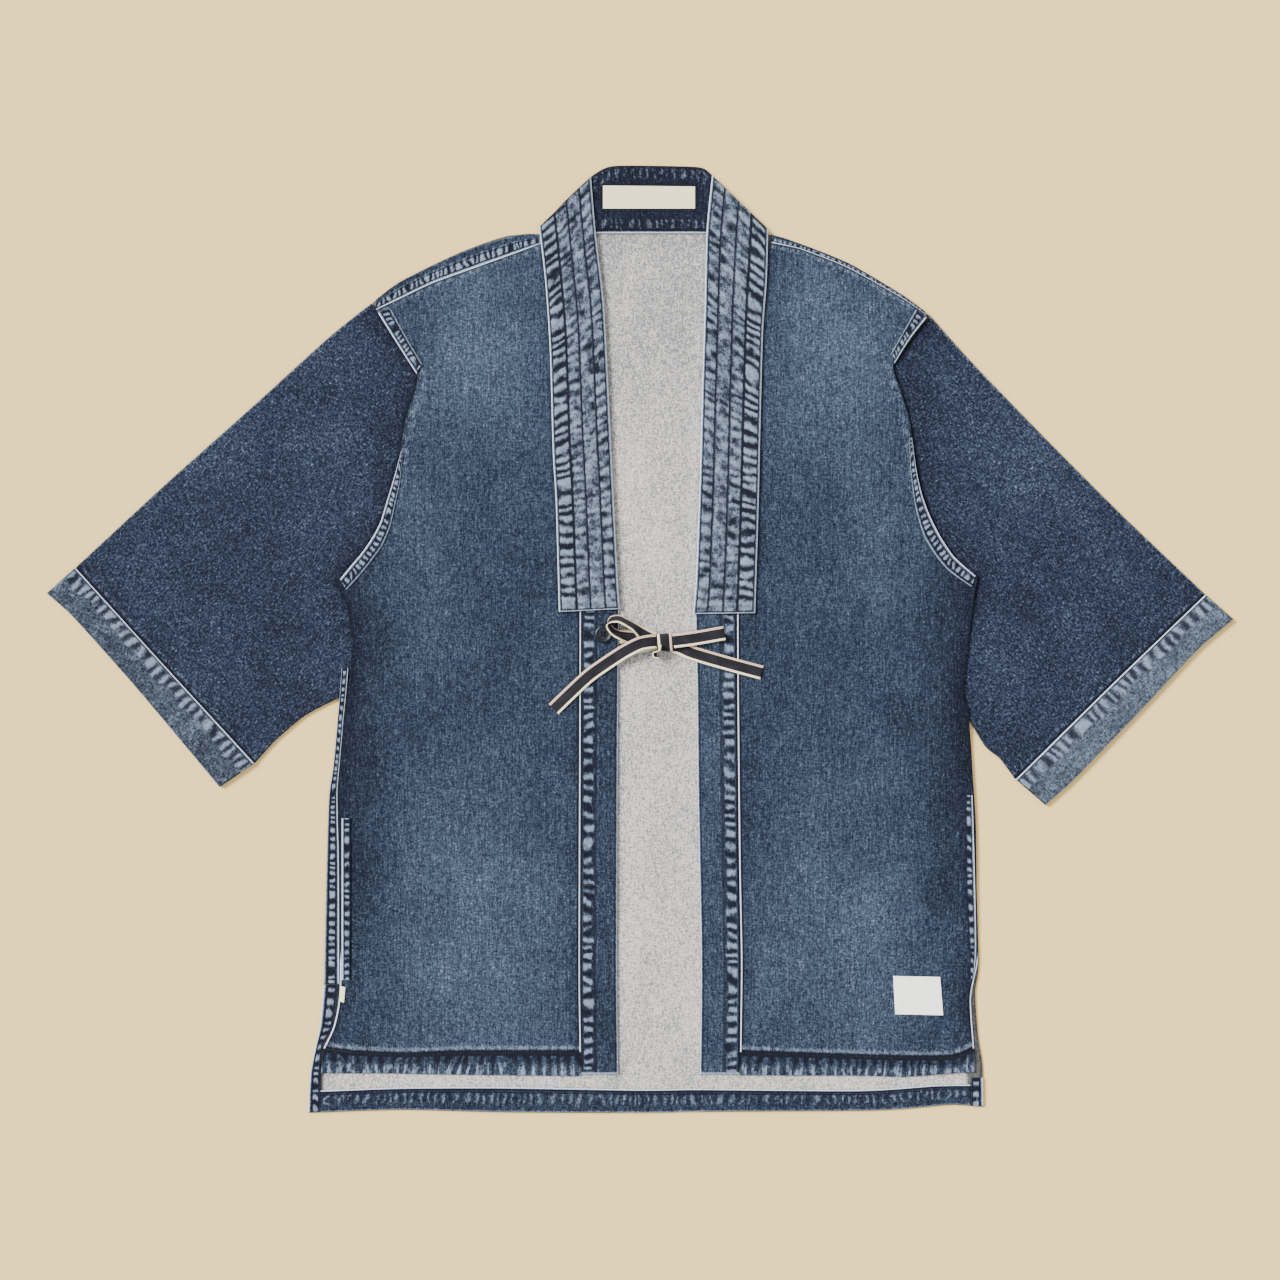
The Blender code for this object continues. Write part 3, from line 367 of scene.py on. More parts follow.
def near_line(x, y, line, steps=160):
    """How far each point is from a line, and how far along the line its nearest point is."""
    points = line(np.linspace(0, 1, steps + 1))
    start, step = points[:-1], np.diff(points, axis=0)
    length = np.linalg.norm(step, axis=1)
    stations = np.concatenate([[0.0], np.cumsum(length)])
    best = np.full(x.shape, 1e9)
    where = np.zeros(x.shape)
    for k in range(steps):
        t = ((x - start[k, 0]) * step[k, 0] + (y - start[k, 1]) * step[k, 1]) / length[k]**2
        t = np.clip(t, 0, 1)
        d = np.hypot(x - start[k, 0] - t * step[k, 0], y - start[k, 1] - t * step[k, 1])
        closer = d < best
        best = np.where(closer, d, best)
        where = np.where(closer, stations[k] + t * length[k], where)
    return best, where


# Cloth meshes.

PIECES = {}


def new_object(name, points, faces, materials=(), face_slots=None, layers=None, uv=None, smooth=True):
    """A mesh object from arrays in millimetres, with number layers and a map for its materials."""
    mesh = bpy.data.meshes.new(name)
    mesh.from_pydata((points * MM).tolist(), [], faces.tolist() if hasattr(faces, "tolist") else faces)
    for material in materials:
        mesh.materials.append(material)
    if face_slots is not None:
        mesh.polygons.foreach_set("material_index", np.asarray(face_slots, np.int32))
    for key, values in (layers or {}).items():
        layer = mesh.attributes.new(key, "FLOAT", "POINT")
        layer.data.foreach_set("value", np.asarray(values, np.float32))
    if uv is not None:
        loops = np.empty(len(mesh.loops), np.int32)
        mesh.loops.foreach_get("vertex_index", loops)
        mesh.uv_layers.new(name="grain").data.foreach_set("uv", (uv[loops] * MM).astype(np.float32).ravel())
    if smooth:
        mesh.shade_smooth()
    mesh.update()
    made = bpy.data.objects.new(name + "_made", mesh)
    bpy.context.scene.collection.objects.link(made)
    PIECES[name] = made
    return made


def grid_faces(columns, lines, offset=0, flip=False, wrap=False):
    """Quads over a grid of points, columns fastest."""
    i = np.arange(columns if wrap else columns - 1)
    j = np.arange(lines - 1)[:, None]
    k = (i + 1) % columns
    a, b = j * columns + i, j * columns + k
    quads = np.stack([a, b, b + columns, a + columns], axis=-1).reshape(-1, 4) + offset
    return quads[:, ::-1] if flip else quads


def layer_values(x, detail):
    """The layers that every cloth piece has: how pale it is rubbed, how dark it stayed or is painted in
    shade, and its wash and wear with painted shade in places.
    """
    return {key: np.clip(detail.get(key, np.zeros_like(x)), -1, 1) for key in ("pale", "navy", "wear")}


def grain_map(x, y, heading):
    """A map of the cloth's own grain: along the warp is +V."""
    angle = math.radians(heading)
    turned_x = x * math.cos(angle) - y * math.sin(angle)
    turned_y = x * math.sin(angle) + y * math.cos(angle)
    return np.stack([turned_x, turned_y], axis=-1)


def cloth(name, patch, us, vs, under, over, detail, face, reverse, roll=0.5, grain=0.0):
    """A closed sheet of cloth over a patch: a face with its detail, a plain reverse, and rolled edges."""
    U, V = np.meshgrid(us, vs)
    xy = patch(U, V).reshape(-1, 2)
    x, y, u, v = xy[:, 0], xy[:, 1], U.ravel(), V.ravel()
    found = detail(x, y, u, v)
    low, high = under(x, y, u, v), over(x, y, u, v) + found.get("height", 0.0)
    count, columns, lines = len(x), len(us), len(vs)
    if roll:
        grid_x, grid_y = xy[:, 0].reshape(lines, columns), xy[:, 1].reshape(lines, columns)
        across = np.hypot(grid_x[:, -1] - grid_x[:, 0], grid_y[:, -1] - grid_y[:, 0])[:, None]
        along = np.hypot(grid_x[-1] - grid_x[0], grid_y[-1] - grid_y[0])[None, :]
        inset = np.minimum(np.minimum(U, 1 - U) * across, np.minimum(V, 1 - V) * along).ravel()
        t = np.clip(inset / roll, 0, 1)
        high = high - roll * (1 - np.sqrt(np.clip(1 - (1 - t)**2, 0, 1)))
    points = np.concatenate([np.column_stack([x, y, high]), np.column_stack([x, y, low])])
    top, bottom = grid_faces(columns, lines), grid_faces(columns, lines, count, flip=True)
    rim = np.concatenate([np.arange(columns), np.arange(1, lines) * columns + columns - 1,
                          (lines - 1) * columns + np.arange(columns - 2, -1, -1),
                          np.arange(lines - 2, 0, -1) * columns])
    following = np.roll(rim, -1)
    sides = np.stack([following, rim, rim + count, following + count], axis=-1)
    # The patches run left to right and downwards, so their faces are turned to look up.
    clockwise = np.cross(xy[columns] - xy[0], xy[1] - xy[0]) > 0
    faces = np.concatenate([top, bottom, sides])
    if not clockwise:
        faces = faces[:, ::-1]
    slots = np.concatenate([np.zeros(len(top)), np.ones(len(bottom)), np.zeros(len(sides))])
    layers = {key: np.concatenate([values, values]) for key, values in layer_values(x, found).items()}
    layers["pale"][count:] = 0
    layers["navy"][count:] = 0
    uv = grain_map(points[:, 0], points[:, 1], grain)
    return new_object(name, points, faces, (face, reverse), slots, layers, uv)


def tube(name, patch, wall, length, across, detail, face, reverse, grain=0.0, pitch=3.0, fine=0.0):
    """A tube of cloth that lies flat: an outer skin with its detail, and a plain inner one."""
    run = np.linspace(0, 1, max(8, round(across / pitch) + 1))[1:-1]
    shares = spaced(length, pitch, 0.0, fine, 0.8)
    top = 2 * wall + GAP
    middle = wall + GAP / 2

    def skin(inset, low, high, fine):
        edge = (inset + np.array([0.0, 0.12, 0.5, 1.2])) / across
        rise = np.array([0.0, 0.45, 0.85, 1.0])
        v = np.concatenate([edge, run, 1 - edge[::-1], (1 - edge[1:]), run[::-1], edge[:0:-1]])
        z_top = np.concatenate([middle + rise * (high - middle), np.full(len(run), high),
                                (middle + rise * (high - middle))[::-1]])
        fall = middle - rise[1:] * (middle - low)
        z = np.concatenate([z_top, fall, np.full(len(run), low), fall[::-1]])
        upper = np.concatenate([np.ones(len(z_top)), np.zeros(len(v) - len(z_top))])
        U, V = np.meshgrid(shares, v, indexing="ij")
        xy = patch(U, V)
        x, y = xy[..., 0].ravel(), xy[..., 1].ravel()
        z = np.tile(z, len(shares))
        upper = np.tile(upper, len(shares))
        found = detail(x, y, U.ravel(), V.ravel()) if fine else {}
        z = z + found.get("height", 0.0) * upper
        return np.column_stack([x, y, z]), layer_values(x, found), len(v), upper

    outer, outer_layers, count, upper = skin(0.0, 0.0, top, True)
    inner, inner_layers, _, _ = skin(wall, wall, wall + GAP, False)
    lines = len(shares)
    inner = inner.reshape(lines, count, 3)[::-1].reshape(-1, 3)
    points = np.concatenate([outer, inner])
    faces = grid_faces(count, 2 * lines, wrap=True)
    last = (2 * lines - 1) * count + np.arange(count)
    first = np.arange(count)
    closing = np.stack([last, np.roll(last, -1), np.roll(first, -1), first], axis=-1)
    faces = np.concatenate([faces, closing])
    slots = np.concatenate([np.zeros(count * (lines - 1)), np.ones(len(faces) - count * (lines - 1))])
    slots[count * (lines - 1):count * lines] = 0
    first_quad = points[faces[count * 2 + len(run) // 2]]
    if np.cross(first_quad[1] - first_quad[0], first_quad[2] - first_quad[0])[2] < 0:
        faces = faces[:, ::-1]
    layers = {key: np.concatenate([values, inner_layers[key].reshape(lines, count)[::-1].ravel()])
              for key, values in outer_layers.items()}
    uv = grain_map(points[:, 0], points[:, 1], grain)
    return new_object(name, points, faces, (face, reverse), slots, layers, uv)


def path_of(table):
    return Line([(row.x, row.y, row.z) for row in table], tension=0.45)


def ribbon(name, table, material, steps=8):
    """Woven tape along a path: its edges are corded, and the map runs across and along it."""
    middle = path_of(table)
    count = max(8, steps * (len(table) - 1))
    shares = np.linspace(0, 1, count + 1)
    centre = middle(shares)
    along = np.gradient(centre, axis=0)
    along /= np.linalg.norm(along, axis=1)[:, None]
    columns = np.array([(row.ax, row.ay, row.az) for row in table], float)
    across = np.stack([np.interp(shares, middle.stations, columns[:, i]) for i in range(3)], axis=-1)
    across -= along * (across * along).sum(axis=1)[:, None]
    across /= np.linalg.norm(across, axis=1)[:, None]
    up = np.cross(along, across)
    half = TAPE_WIDTH / 2
    upper = [(-1, 0.0), (-0.97, 0.42), (-0.86, 0.48), (-0.74, 0.4), (-0.4, 0.36), (0, 0.34), (0.4, 0.36),
             (0.74, 0.4), (0.86, 0.48), (0.97, 0.42)]
    profile = np.array(upper + [(-across_share, -rise) for across_share, rise in upper])
    width = profile[:, 0] * half
    points = (centre[:, None] + across[:, None] * width[None, :, None]
              + up[:, None] * profile[None, :, 1:2]).reshape(-1, 3)
    around = len(profile)
    faces = grid_faces(around, count + 1, wrap=True).tolist()
    faces.append(list(range(around))[::-1])
    faces.append([count * around + i for i in range(around)])
    travelled = np.concatenate([[0], np.cumsum(np.linalg.norm(np.diff(centre, axis=0), axis=1))])
    uv = np.column_stack([np.tile(width, count + 1), np.repeat(travelled, around)])
    return new_object(name, points, faces, (material,), None, None, uv)


STITCH_RUNS = []
STITCH_HALF_WIDTH = 0.3
# A stitch's six corners: shares of its half length and half width, and heights. The ends dip into the cloth.
STITCH_SHAPE = ((-1, 0, -0.2), (0, 1, 0.05), (0, 0, 0.26), (0, -1, 0.05), (0, 0, -0.2), (1, 0, -0.2))


def stitch_along(points, on, pitch=3.4, sink=0.05):
    """Notes a row of stitches along points in the plane, lying on a piece."""
    points = np.asarray(points)
    steps = np.linalg.norm(np.diff(points, axis=0), axis=1)
    stations = np.concatenate([[0], np.cumsum(steps)])
    count = int(stations[-1] / pitch)
    ends = (np.arange(count) + 0.5) * pitch
    x, y = (np.interp(ends, stations, points[:, i]) for i in range(2))
    ahead = [np.interp(ends + 0.4, stations, points[:, i]) for i in range(2)]
    ways = np.column_stack([ahead[0] - x, ahead[1] - y])
    STITCH_RUNS.append((np.column_stack([x, y]), ways, on, pitch, sink))


def make_stitches(thread):
    """All the rows of stitches as one piece: each is a short thread that dips into the cloth at its ends."""
    points, faces = [], []
    for places, ways, on, pitch, sink in STITCH_RUNS:
        mesh = PIECES[on].data
        coordinates = np.empty(len(mesh.vertices) * 3)
        mesh.vertices.foreach_get("co", coordinates)
        tree = BVHTree.FromPolygons(coordinates.reshape(-1, 3).tolist(),
                                    [tuple(p.vertices) for p in mesh.polygons])
        for (x, y), way in zip(places, ways):
            hit = tree.ray_cast(Vector((x, y, 100)) * MM, Vector((0, 0, -1)))[0]
            if hit is None:
                continue
            z = hit.z / MM - sink
            along = np.array([way[0], way[1]]) / max(1e-6, math.hypot(*way))
            side = np.array([-along[1], along[0]])
            half = 0.38 * pitch
            first = len(points)
            for a, b, c in STITCH_SHAPE:
                place = np.array([x, y]) + along * a * half + side * b * STITCH_HALF_WIDTH
                points.append((place[0], place[1], z + c))
            for one, other in ((1, 2), (2, 3), (3, 4), (4, 1)):
                faces.append((first, first + one, first + other))
                faces.append((first + 5, first + other, first + one))
    return new_object("stitches", np.array(points), faces, (thread,))


# Materials.

# Reflectances, for red, green and blue.
SHADES = {
    "night": (0.0022, 0.0028, 0.0085), "face_dark": (0.004, 0.0062, 0.016),
    "face": (0.0142, 0.0222, 0.041), "face_light": (0.05, 0.072, 0.112),
    "sleeve_dark": (0.003, 0.0044, 0.012), "sleeve": (0.0102, 0.0153, 0.0335),
    "sleeve_light": (0.04, 0.055, 0.092), "washed_dark": (0.011, 0.016, 0.03),
    "washed": (0.038, 0.05, 0.073), "washed_light": (0.1, 0.126, 0.168), "fleck": (0.14, 0.18, 0.245),
    "rubbed": (0.18, 0.232, 0.32), "edge": (0.58, 0.66, 0.8), "lining_dark": (0.15, 0.15, 0.158),
    "lining": (0.33, 0.325, 0.318), "lining_light": (0.5, 0.49, 0.47), "tape": (0.005, 0.0046, 0.008),
    "tape_worn": (0.024, 0.023, 0.032), "cream": (0.88, 0.8, 0.52), "label": (0.78, 0.7, 0.46),
    "white": (0.93, 0.92, 0.9), "cream_dark": (0.42, 0.37, 0.25), "pink": (0.62, 0.45, 0.33),
    "pink_dark": (0.25, 0.16, 0.12), "thread": (0.0035, 0.0042, 0.011), "floor": (0.765, 0.545, 0.215),
}


def shade(name):
    return SHADES[name] + (1.0,)


class Field:
    """A number that varies over a surface, as shader nodes."""

    def __init__(self, tree, socket):
        self.tree, self.socket = tree, socket

    def _with(self, operation, *others):
        node = self.tree.nodes.new("ShaderNodeMath")
        node.operation = operation
        self.tree.links.new(self.socket, node.inputs[0])
        for i, other in enumerate(others, 1):
            if isinstance(other, Field):
                self.tree.links.new(other.socket, node.inputs[i])
            else:
                node.inputs[i].default_value = other
        return Field(self.tree, node.outputs[0])

    def __add__(self, other):
        return self._with("ADD", other)

    def __sub__(self, other):
        return self._with("SUBTRACT", other)

    def __mul__(self, other):
        return self._with("MULTIPLY", other)

    def wave(self):
        return self._with("SINE")

    def step(self, low, high):
        """0 at low and 1 at high, smoothly, either way round."""
        node = self.tree.nodes.new("ShaderNodeMapRange")
        node.interpolation_type = "SMOOTHSTEP"
        self.tree.links.new(self.socket, node.inputs["Value"])
        turned = low > high
        node.inputs["From Min"].default_value = high if turned else low
        node.inputs["From Max"].default_value = low if turned else high
        node.inputs["To Min"].default_value = 1.0 if turned else 0.0
        node.inputs["To Max"].default_value = 0.0 if turned else 1.0
        return Field(self.tree, node.outputs[0])

    def ramp(self, *stops):
        """A colour for each value, from (place, shade) pairs."""
        node = self.tree.nodes.new("ShaderNodeValToRGB")
        self.tree.links.new(self.socket, node.inputs["Fac"])
        elements = node.color_ramp.elements
        while len(elements) < len(stops):
            elements.new(0.5)
        for element, (place, name) in zip(elements, stops):
            element.position = place
            element.color = shade(name)
        return node.outputs["Color"]


class Surface:
    """The node tree of one material, with the maps and layers that the cloth meshes carry."""

    def __init__(self, name):
        self.material = bpy.data.materials.new(name)
        self.material.use_nodes = True
        self.tree = self.material.node_tree
        self.shader = self.tree.nodes["Principled BSDF"]
        self.map = self.tree.nodes.new("ShaderNodeUVMap")
        self.map.uv_map = "grain"

    def layer(self, name):
        node = self.tree.nodes.new("ShaderNodeAttribute")
        node.attribute_name = name
        return Field(self.tree, node.outputs["Fac"])

    def coordinate(self, axis):
        node = self.tree.nodes.new("ShaderNodeSeparateXYZ")
        self.tree.links.new(self.map.outputs[0], node.inputs[0])
        return Field(self.tree, node.outputs[axis])

    def noise(self, across, along, detail=3.0, rough=0.6, place=0.0):
        """Noise about 0, of about 1 either way, with features of these lengths in millimetres."""
        scale = self.tree.nodes.new("ShaderNodeMapping")
        scale.inputs["Scale"].default_value = (1 / (across * MM), 1 / (along * MM), 1)
        scale.inputs["Location"].default_value = (place, place * 0.7, place)
        self.tree.links.new(self.map.outputs[0], scale.inputs["Vector"])
        node = self.tree.nodes.new("ShaderNodeTexNoise")
        node.inputs["Scale"].default_value = 1.0
        node.inputs["Detail"].default_value = detail
        node.inputs["Roughness"].default_value = rough
        self.tree.links.new(scale.outputs[0], node.inputs["Vector"])
        return (Field(self.tree, node.outputs["Fac"]) - 0.5) * 6.0

    def blend(self, colour, name, share):
        """The colour, and by a share a shade over it."""
        node = self.tree.nodes.new("ShaderNodeMix")
        node.data_type = "RGBA"
        self.tree.links.new(colour, node.inputs[6])
        node.inputs[7].default_value = shade(name)
        self.tree.links.new(share.socket, node.inputs[0])
        return node.outputs[2]

    def finish(self, colour, height, distance, roughness, sheen=0.0):
        self.tree.links.new(colour, self.shader.inputs["Base Color"])
        bump = self.tree.nodes.new("ShaderNodeBump")
        bump.inputs["Strength"].default_value = 0.6
        bump.inputs["Distance"].default_value = distance * MM
        self.tree.links.new(height.socket, bump.inputs["Height"])
        self.tree.links.new(bump.outputs[0], self.shader.inputs["Normal"])
        self.shader.inputs["Roughness"].default_value = roughness
        self.shader.inputs["Specular IOR Level"].default_value = 0.15
        self.shader.inputs["Sheen Weight"].default_value = sheen
        self.shader.inputs["Sheen Roughness"].default_value = 0.5
        return self.material


def denim(name, tones, warp=(1.2, 9.0), streaks=0.15, flecks=0.24, slubs=0.06, mottle=0.05, blotch=0.03):
    """Washed indigo twill: slubby warp streaks, wash mottle, rubbed ridges and dark stitched hollows, and
    painted shade where the pieces' layers carry it.
    """
    s = Surface(name)
    fine = s.noise(*warp, 3, 0.7)
    slub = s.noise(1.5, 60, 2, 0.5, 3.1)
    fleck = s.noise(1.5, 1.9, 2, 0.8, 5.3)
    weft = s.noise(5.0, 1.2, 2, 0.7, 9.1)
    cloud = s.noise(46, 60, 3, 0.55, 8.2)
    blot = s.noise(8, 11, 3, 0.6, 2.4)
    tone = (fine * streaks + fleck * flecks + weft * 0.10 + slub * slubs + cloud * mottle + blot * blotch
            + s.layer("wear") * 0.3 + 0.40)
    dark, middle, light = tones
    colour = tone.ramp((0.0, "night"), (0.16, dark), (0.42, middle), (0.78, light), (1.0, "fleck"))
    pale, navy = s.layer("pale"), s.layer("navy")
    # Near black where the navy layer asks for it: stitched hollows, and painted shade beside the collar and
    # the body's edge.
    colour = s.blend(colour, "night", (navy + fleck * 0.09 + fine * 0.05).step(0.04, 0.85) * 0.93)
    colour = s.blend(colour, "rubbed", (pale + fleck * 0.12 + fine * 0.08).step(0.06, 0.78) * 0.93)
    colour = s.blend(colour, "edge", (pale + fleck * 0.05).step(0.74, 0.98) * 0.9)
    twill = ((s.coordinate(0) + s.coordinate(1)) * (2 * math.pi / (1.0 * MM))).wave()
    return s.finish(colour, fine * 0.25 + fleck * 0.45 + twill * 0.12, 0.3, 0.92, 0.02)


def reverse_denim(name):
    """The pale reverse of the denim, flecked with indigo, and darkened by painted shade where the pieces'
    layers carry it.
    """
    s = Surface(name)
    weft = s.noise(7, 1.0, 3, 0.65)
    warp = s.noise(1.1, 7, 3, 0.65, 7.7)
    fleck = s.noise(1.4, 1.6, 2, 0.8, 4.4)
    cloud = s.noise(40, 80, 3, 0.5, 1.9)
    tone = weft * 0.22 + warp * 0.26 + fleck * 0.62 + cloud * 0.13 + s.layer("wear") * 0.3 + 0.55
    colour = tone.ramp((0.05, "lining_dark"), (0.5, "lining"), (1.0, "lining_light"))
    # Painted shade: near black where the navy layer says that other pieces cover the lining.
    colour = s.blend(colour, "night", (s.layer("navy") + fleck * 0.1).step(0.2, 0.9) * 0.8)
    twill = ((s.coordinate(0) - s.coordinate(1)) * (2 * math.pi / (1.0 * MM))).wave()
    return s.finish(colour, weft * 0.15 + fleck * 0.3 + twill * 0.1, 0.2, 0.92, 0.04)


def tape_material():
    """Woven tape: a ribbed navy middle between a cream edge and a pinkish one."""
    s = Surface("tape_weave")
    across, along = s.coordinate(0), s.coordinate(1)
    rib = (along * (2 * math.pi / (1.1 * MM))).wave()
    grain = s.noise(0.5, 0.9, 2, 0.7)
    fade = s.noise(6, 14, 3, 0.6, 2.2)
    colour = (grain * 0.2 + fade * 0.2 + 0.35).ramp((0.1, "tape"), (1.0, "tape_worn"))
    cream = (grain * 0.2 + 0.7).ramp((0.0, "cream_dark"), (0.8, "cream"))
    pink = (grain * 0.2 + 0.7).ramp((0.0, "pink_dark"), (0.8, "pink"))
    for edge, low, high in ((cream, -3.9, -4.25), (pink, 3.9, 4.25)):
        node = s.tree.nodes.new("ShaderNodeMix")
        node.data_type = "RGBA"
        s.tree.links.new(colour, node.inputs[6])
        s.tree.links.new(edge, node.inputs[7])
        s.tree.links.new(across.step(low * MM, high * MM).socket, node.inputs[0])
        colour = node.outputs[2]
    return s.finish(colour, rib * 0.4 + grain * 0.2, 0.2, 0.8, 0.05)


def label_material(name, tone):
    """Pale woven cloth with a satin rib."""
    s = Surface(name)
    grain = s.noise(0.5, 2.5, 3, 0.7)
    cloud = s.noise(12, 12, 3, 0.5, 3.3)
    rib = (s.coordinate(1) * (2 * math.pi / (0.7 * MM))).wave()
    colour = (grain * 0.12 + cloud * 0.12 + 0.8).ramp((0.0, "cream_dark"), (0.75, tone))
    return s.finish(colour, rib * 0.4 + grain * 0.2, 0.15, 0.7, 0.03)


def thread_material(name, tone):
    """Spun thread."""
    s = Surface(name)
    grain = s.noise(0.4, 1.5, 2, 0.6)
    colour = s.blend((grain * 0.2 + 0.5).ramp((0.0, tone), (1.0, tone)), "rubbed", grain.step(0.5, 3.0) * 0.2)
    return s.finish(colour, grain, 0.1, 0.65)


def resin_material():
    """Dark moulded resin with faint swirls."""
    material = bpy.data.materials.new("button_resin_gloss")
    material.use_nodes = True
    tree = material.node_tree
    shader = tree.nodes["Principled BSDF"]
    place = tree.nodes.new("ShaderNodeTexCoord")
    noise = tree.nodes.new("ShaderNodeTexNoise")
    noise.inputs["Scale"].default_value = 260
    noise.inputs["Distortion"].default_value = 1.5
    tree.links.new(place.outputs["Object"], noise.inputs["Vector"])
    ramp = tree.nodes.new("ShaderNodeValToRGB")
    ramp.color_ramp.elements[0].color = (0.0014, 0.0020, 0.0058, 1)
    ramp.color_ramp.elements[1].color = (0.0042, 0.0058, 0.0140, 1)
    tree.links.new(noise.outputs["Fac"], ramp.inputs["Fac"])
    tree.links.new(ramp.outputs["Color"], shader.inputs["Base Color"])
    shader.inputs["Roughness"].default_value = 0.42
    shader.inputs["Specular IOR Level"].default_value = 0.35
    return material


# Heights and seam detail of each piece.

def level(height):
    return lambda x, y, u, v: np.full_like(x, height)


def raised(height, lift):
    return lambda x, y, u, v: height(x, y, u, v) + lift


def fold_relief(piece, x, y):
    """How far the soft folds of a piece lift it."""
    total = np.zeros_like(x)
    for fold in FOLDS:
        if fold.piece == piece:
            angle = math.radians(fold.heading)
            dx, dy = x - fold.x, y - fold.y
            along = dx * math.cos(angle) + dy * math.sin(angle)
            across = -dx * math.sin(angle) + dy * math.cos(angle)
            total = total + fold.height * np.exp(-((across / fold.width) ** 2) - (along / fold.length) ** 4)
    return total


# The table's wash and wear, with the painted shade of its dark rows along the fronts' sides.
def wear_and_shade_at(piece, x, y):
    total = np.zeros_like(x)
    for spot in WEAR_AND_SHADE:
        if spot.piece == piece:
            total = total + spot.amount * np.exp(-(((x - spot.x) / spot.across) ** 2)
                                                 - (((y - spot.y) / spot.along) ** 2))
    return total


def arm_lift(distance, y):
    return ARM_LIFT * ease(1 - distance / ARM_LIFT_REACH) * ease((y - ARM_LIFT_END) / ARM_LIFT_EASE)


def inner_mask(u, v, margin_u, margin_v):
    return ease(u / margin_u) * ease((1 - u) / margin_u) * ease(v / margin_v) * ease((1 - v) / margin_v)


def felled(pitch=5.2, rise=0.3, turned=False):
    """A felled seam: rubbed rungs between two stitched hollows, and a bright folded edge, last if turned."""

    def look(across, along, width, length, seed):
        share = 1 - across / width if turned else across / width
        rung = puckers(along, across, pitch, seed)
        middle = window(share, 0.30, 0.71, 0.06)
        pale = np.maximum(window(share, -1, 0.13, 0.05), 0.62 * window(share, 0.88, 2, 0.05))
        navy = np.maximum(window(share, 0.15, 0.29, 0.05), window(share, 0.72, 0.86, 0.05))
        return {"height": rise * rung * middle - 0.15 * navy,
                "pale": np.maximum(pale, middle * (0.32 + 0.42 * rung)),
                "navy": np.maximum(navy, -middle * rung)}

    return look


def shoulder_look(across, along, width, length, seed):
    """A shoulder's seam: the back's cloth rolled over, then rungs, and a bright edge beside the front."""
    rung = puckers(along, across, 4.9, seed)
    share = across / width
    middle = window(share, 0.47, 0.80, 0.06)
    pale = np.max([window(share, 0.90, 2, 0.04), 0.5 * window(share, 0.32, 0.42, 0.1) * (0.6 + 0.4 * rung),
                   middle * (0.3 + 0.42 * rung), 0.25 * window(share, -1, 0.06, 0.05)], axis=0)
    navy = np.max([window(share, 0.41, 0.48, 0.04), window(share, 0.81, 0.89, 0.04), -middle * rung], axis=0)
    return {"height": 0.25 * rung * middle - 0.15 * navy, "pale": pale, "navy": navy}


def facing_look(across, along, width, length, seed):
    """The band beside a front's edge: rungs up to its inner row of stitches, then plain denim."""
    rung = puckers(along, 0.6 * across, 9.6, seed)
    reach = 10.5 + 1.6 * blots(along, 0 * along, 8, seed + 21)
    teeth = window(across, 2.2, reach, 1.2)
    edge = window(across, width - 0.75, width + 9, 0.3)
    navy = np.max([window(across, -1, 1.9), -teeth * rung, 0.55 * window(across, reach + 0.6, 13.8, 0.8),
                   0.8 * window(across, width - 2.1, width - 0.95)], axis=0)
    worn_line = 0.3 * window(across, 14, 14.9, 0.5) * (blots(along, 0 * along, 9, 5) > 0)
    pale = np.max([teeth * (0.16 + 0.42 * rung), worn_line, 0.9 * edge,
                   0.8 * window(along, length - 2, length + 9)], axis=0)
    height = 0.32 * rung * teeth - 0.15 * window(across, 11.8, 13.8, 0.8)
    return {"height": height, "pale": pale, "navy": navy}


def hem_look(across, along, width, length, seed):
    """A front's hem: dark hollows under the seam, and pale frayed streaks along the lower edge."""
    rung = puckers(along, across, 8.5, seed)
    streak = puckers(along, 0.3 * across, 3.4, seed + 31)
    low = ease((across - 3) / (width - 6))
    pale = low * (0.22 + 0.30 * rung + 0.22 * streak) * window(across, 2.5, width + 9, 1.5)
    navy = np.maximum(window(across, -1, 2.0), (1.1 - low) * (0.3 - 0.6 * rung))
    height = 0.3 * rung * window(across, 2.5, width - 1, 3) + 0.1 * streak * low
    return {"height": height, "pale": pale, "navy": navy}


def back_hem_look(across, along, width, length, seed):
    """The back's hem, turned up to the inside: a bright edge over two stitched lines, then faint flecks."""
    rung = puckers(along, across, 6.8, seed)
    middle = window(across, 4.5, 14, 4)
    pale = np.max([window(across, -1, 1.1), 0.5 * window(across, 2.7, 3.3, 0.3), 0.34 * middle * rung,
                   0.45 * window(across, width - 1.3, width + 9, 0.8)], axis=0)
    navy = np.max([window(across, 1.3, 2.5), 0.85 * window(across, 3.5, 4.6), -0.5 * middle * rung], axis=0)
    return {"height": 0.25 * rung * middle - 0.12 * navy, "pale": pale, "navy": navy,
            "wear": np.full_like(across, -0.15)}


def vent_look(across, along, width, length, seed):
    """A vent's facing: a bright outer edge, a stitched hollow and pale rungs."""
    share = across / width
    rung = puckers(along, across, 7.5, seed)
    middle = window(share, 0.36, 0.80, 0.08)
    pale = np.maximum(window(share, -1, 0.13, 0.05), middle * (0.25 + 0.42 * rung))
    navy = np.max([window(share, 0.16, 0.34, 0.06), window(share, 0.82, 0.95, 0.06), -middle * rung], axis=0)
    return {"height": 0.25 * rung * middle, "pale": pale, "navy": navy}


def welt_look(across, along, width, length, seed):
    """A pocket's welt: a bright mouth, and rungs towards the panel."""
    rung = puckers(along, across, 7.4, seed)
    middle = window(across, 2.6, width - 1.2, 1.2)
    pale = np.maximum(window(across, -1, 1.25), middle * (0.2 + 0.48 * rung))
    navy = np.max([window(across, 1.4, 2.5), window(across, width - 1.2, width + 9), -middle * rung], axis=0)
    return {"height": 0.25 * rung * middle, "pale": pale, "navy": navy}


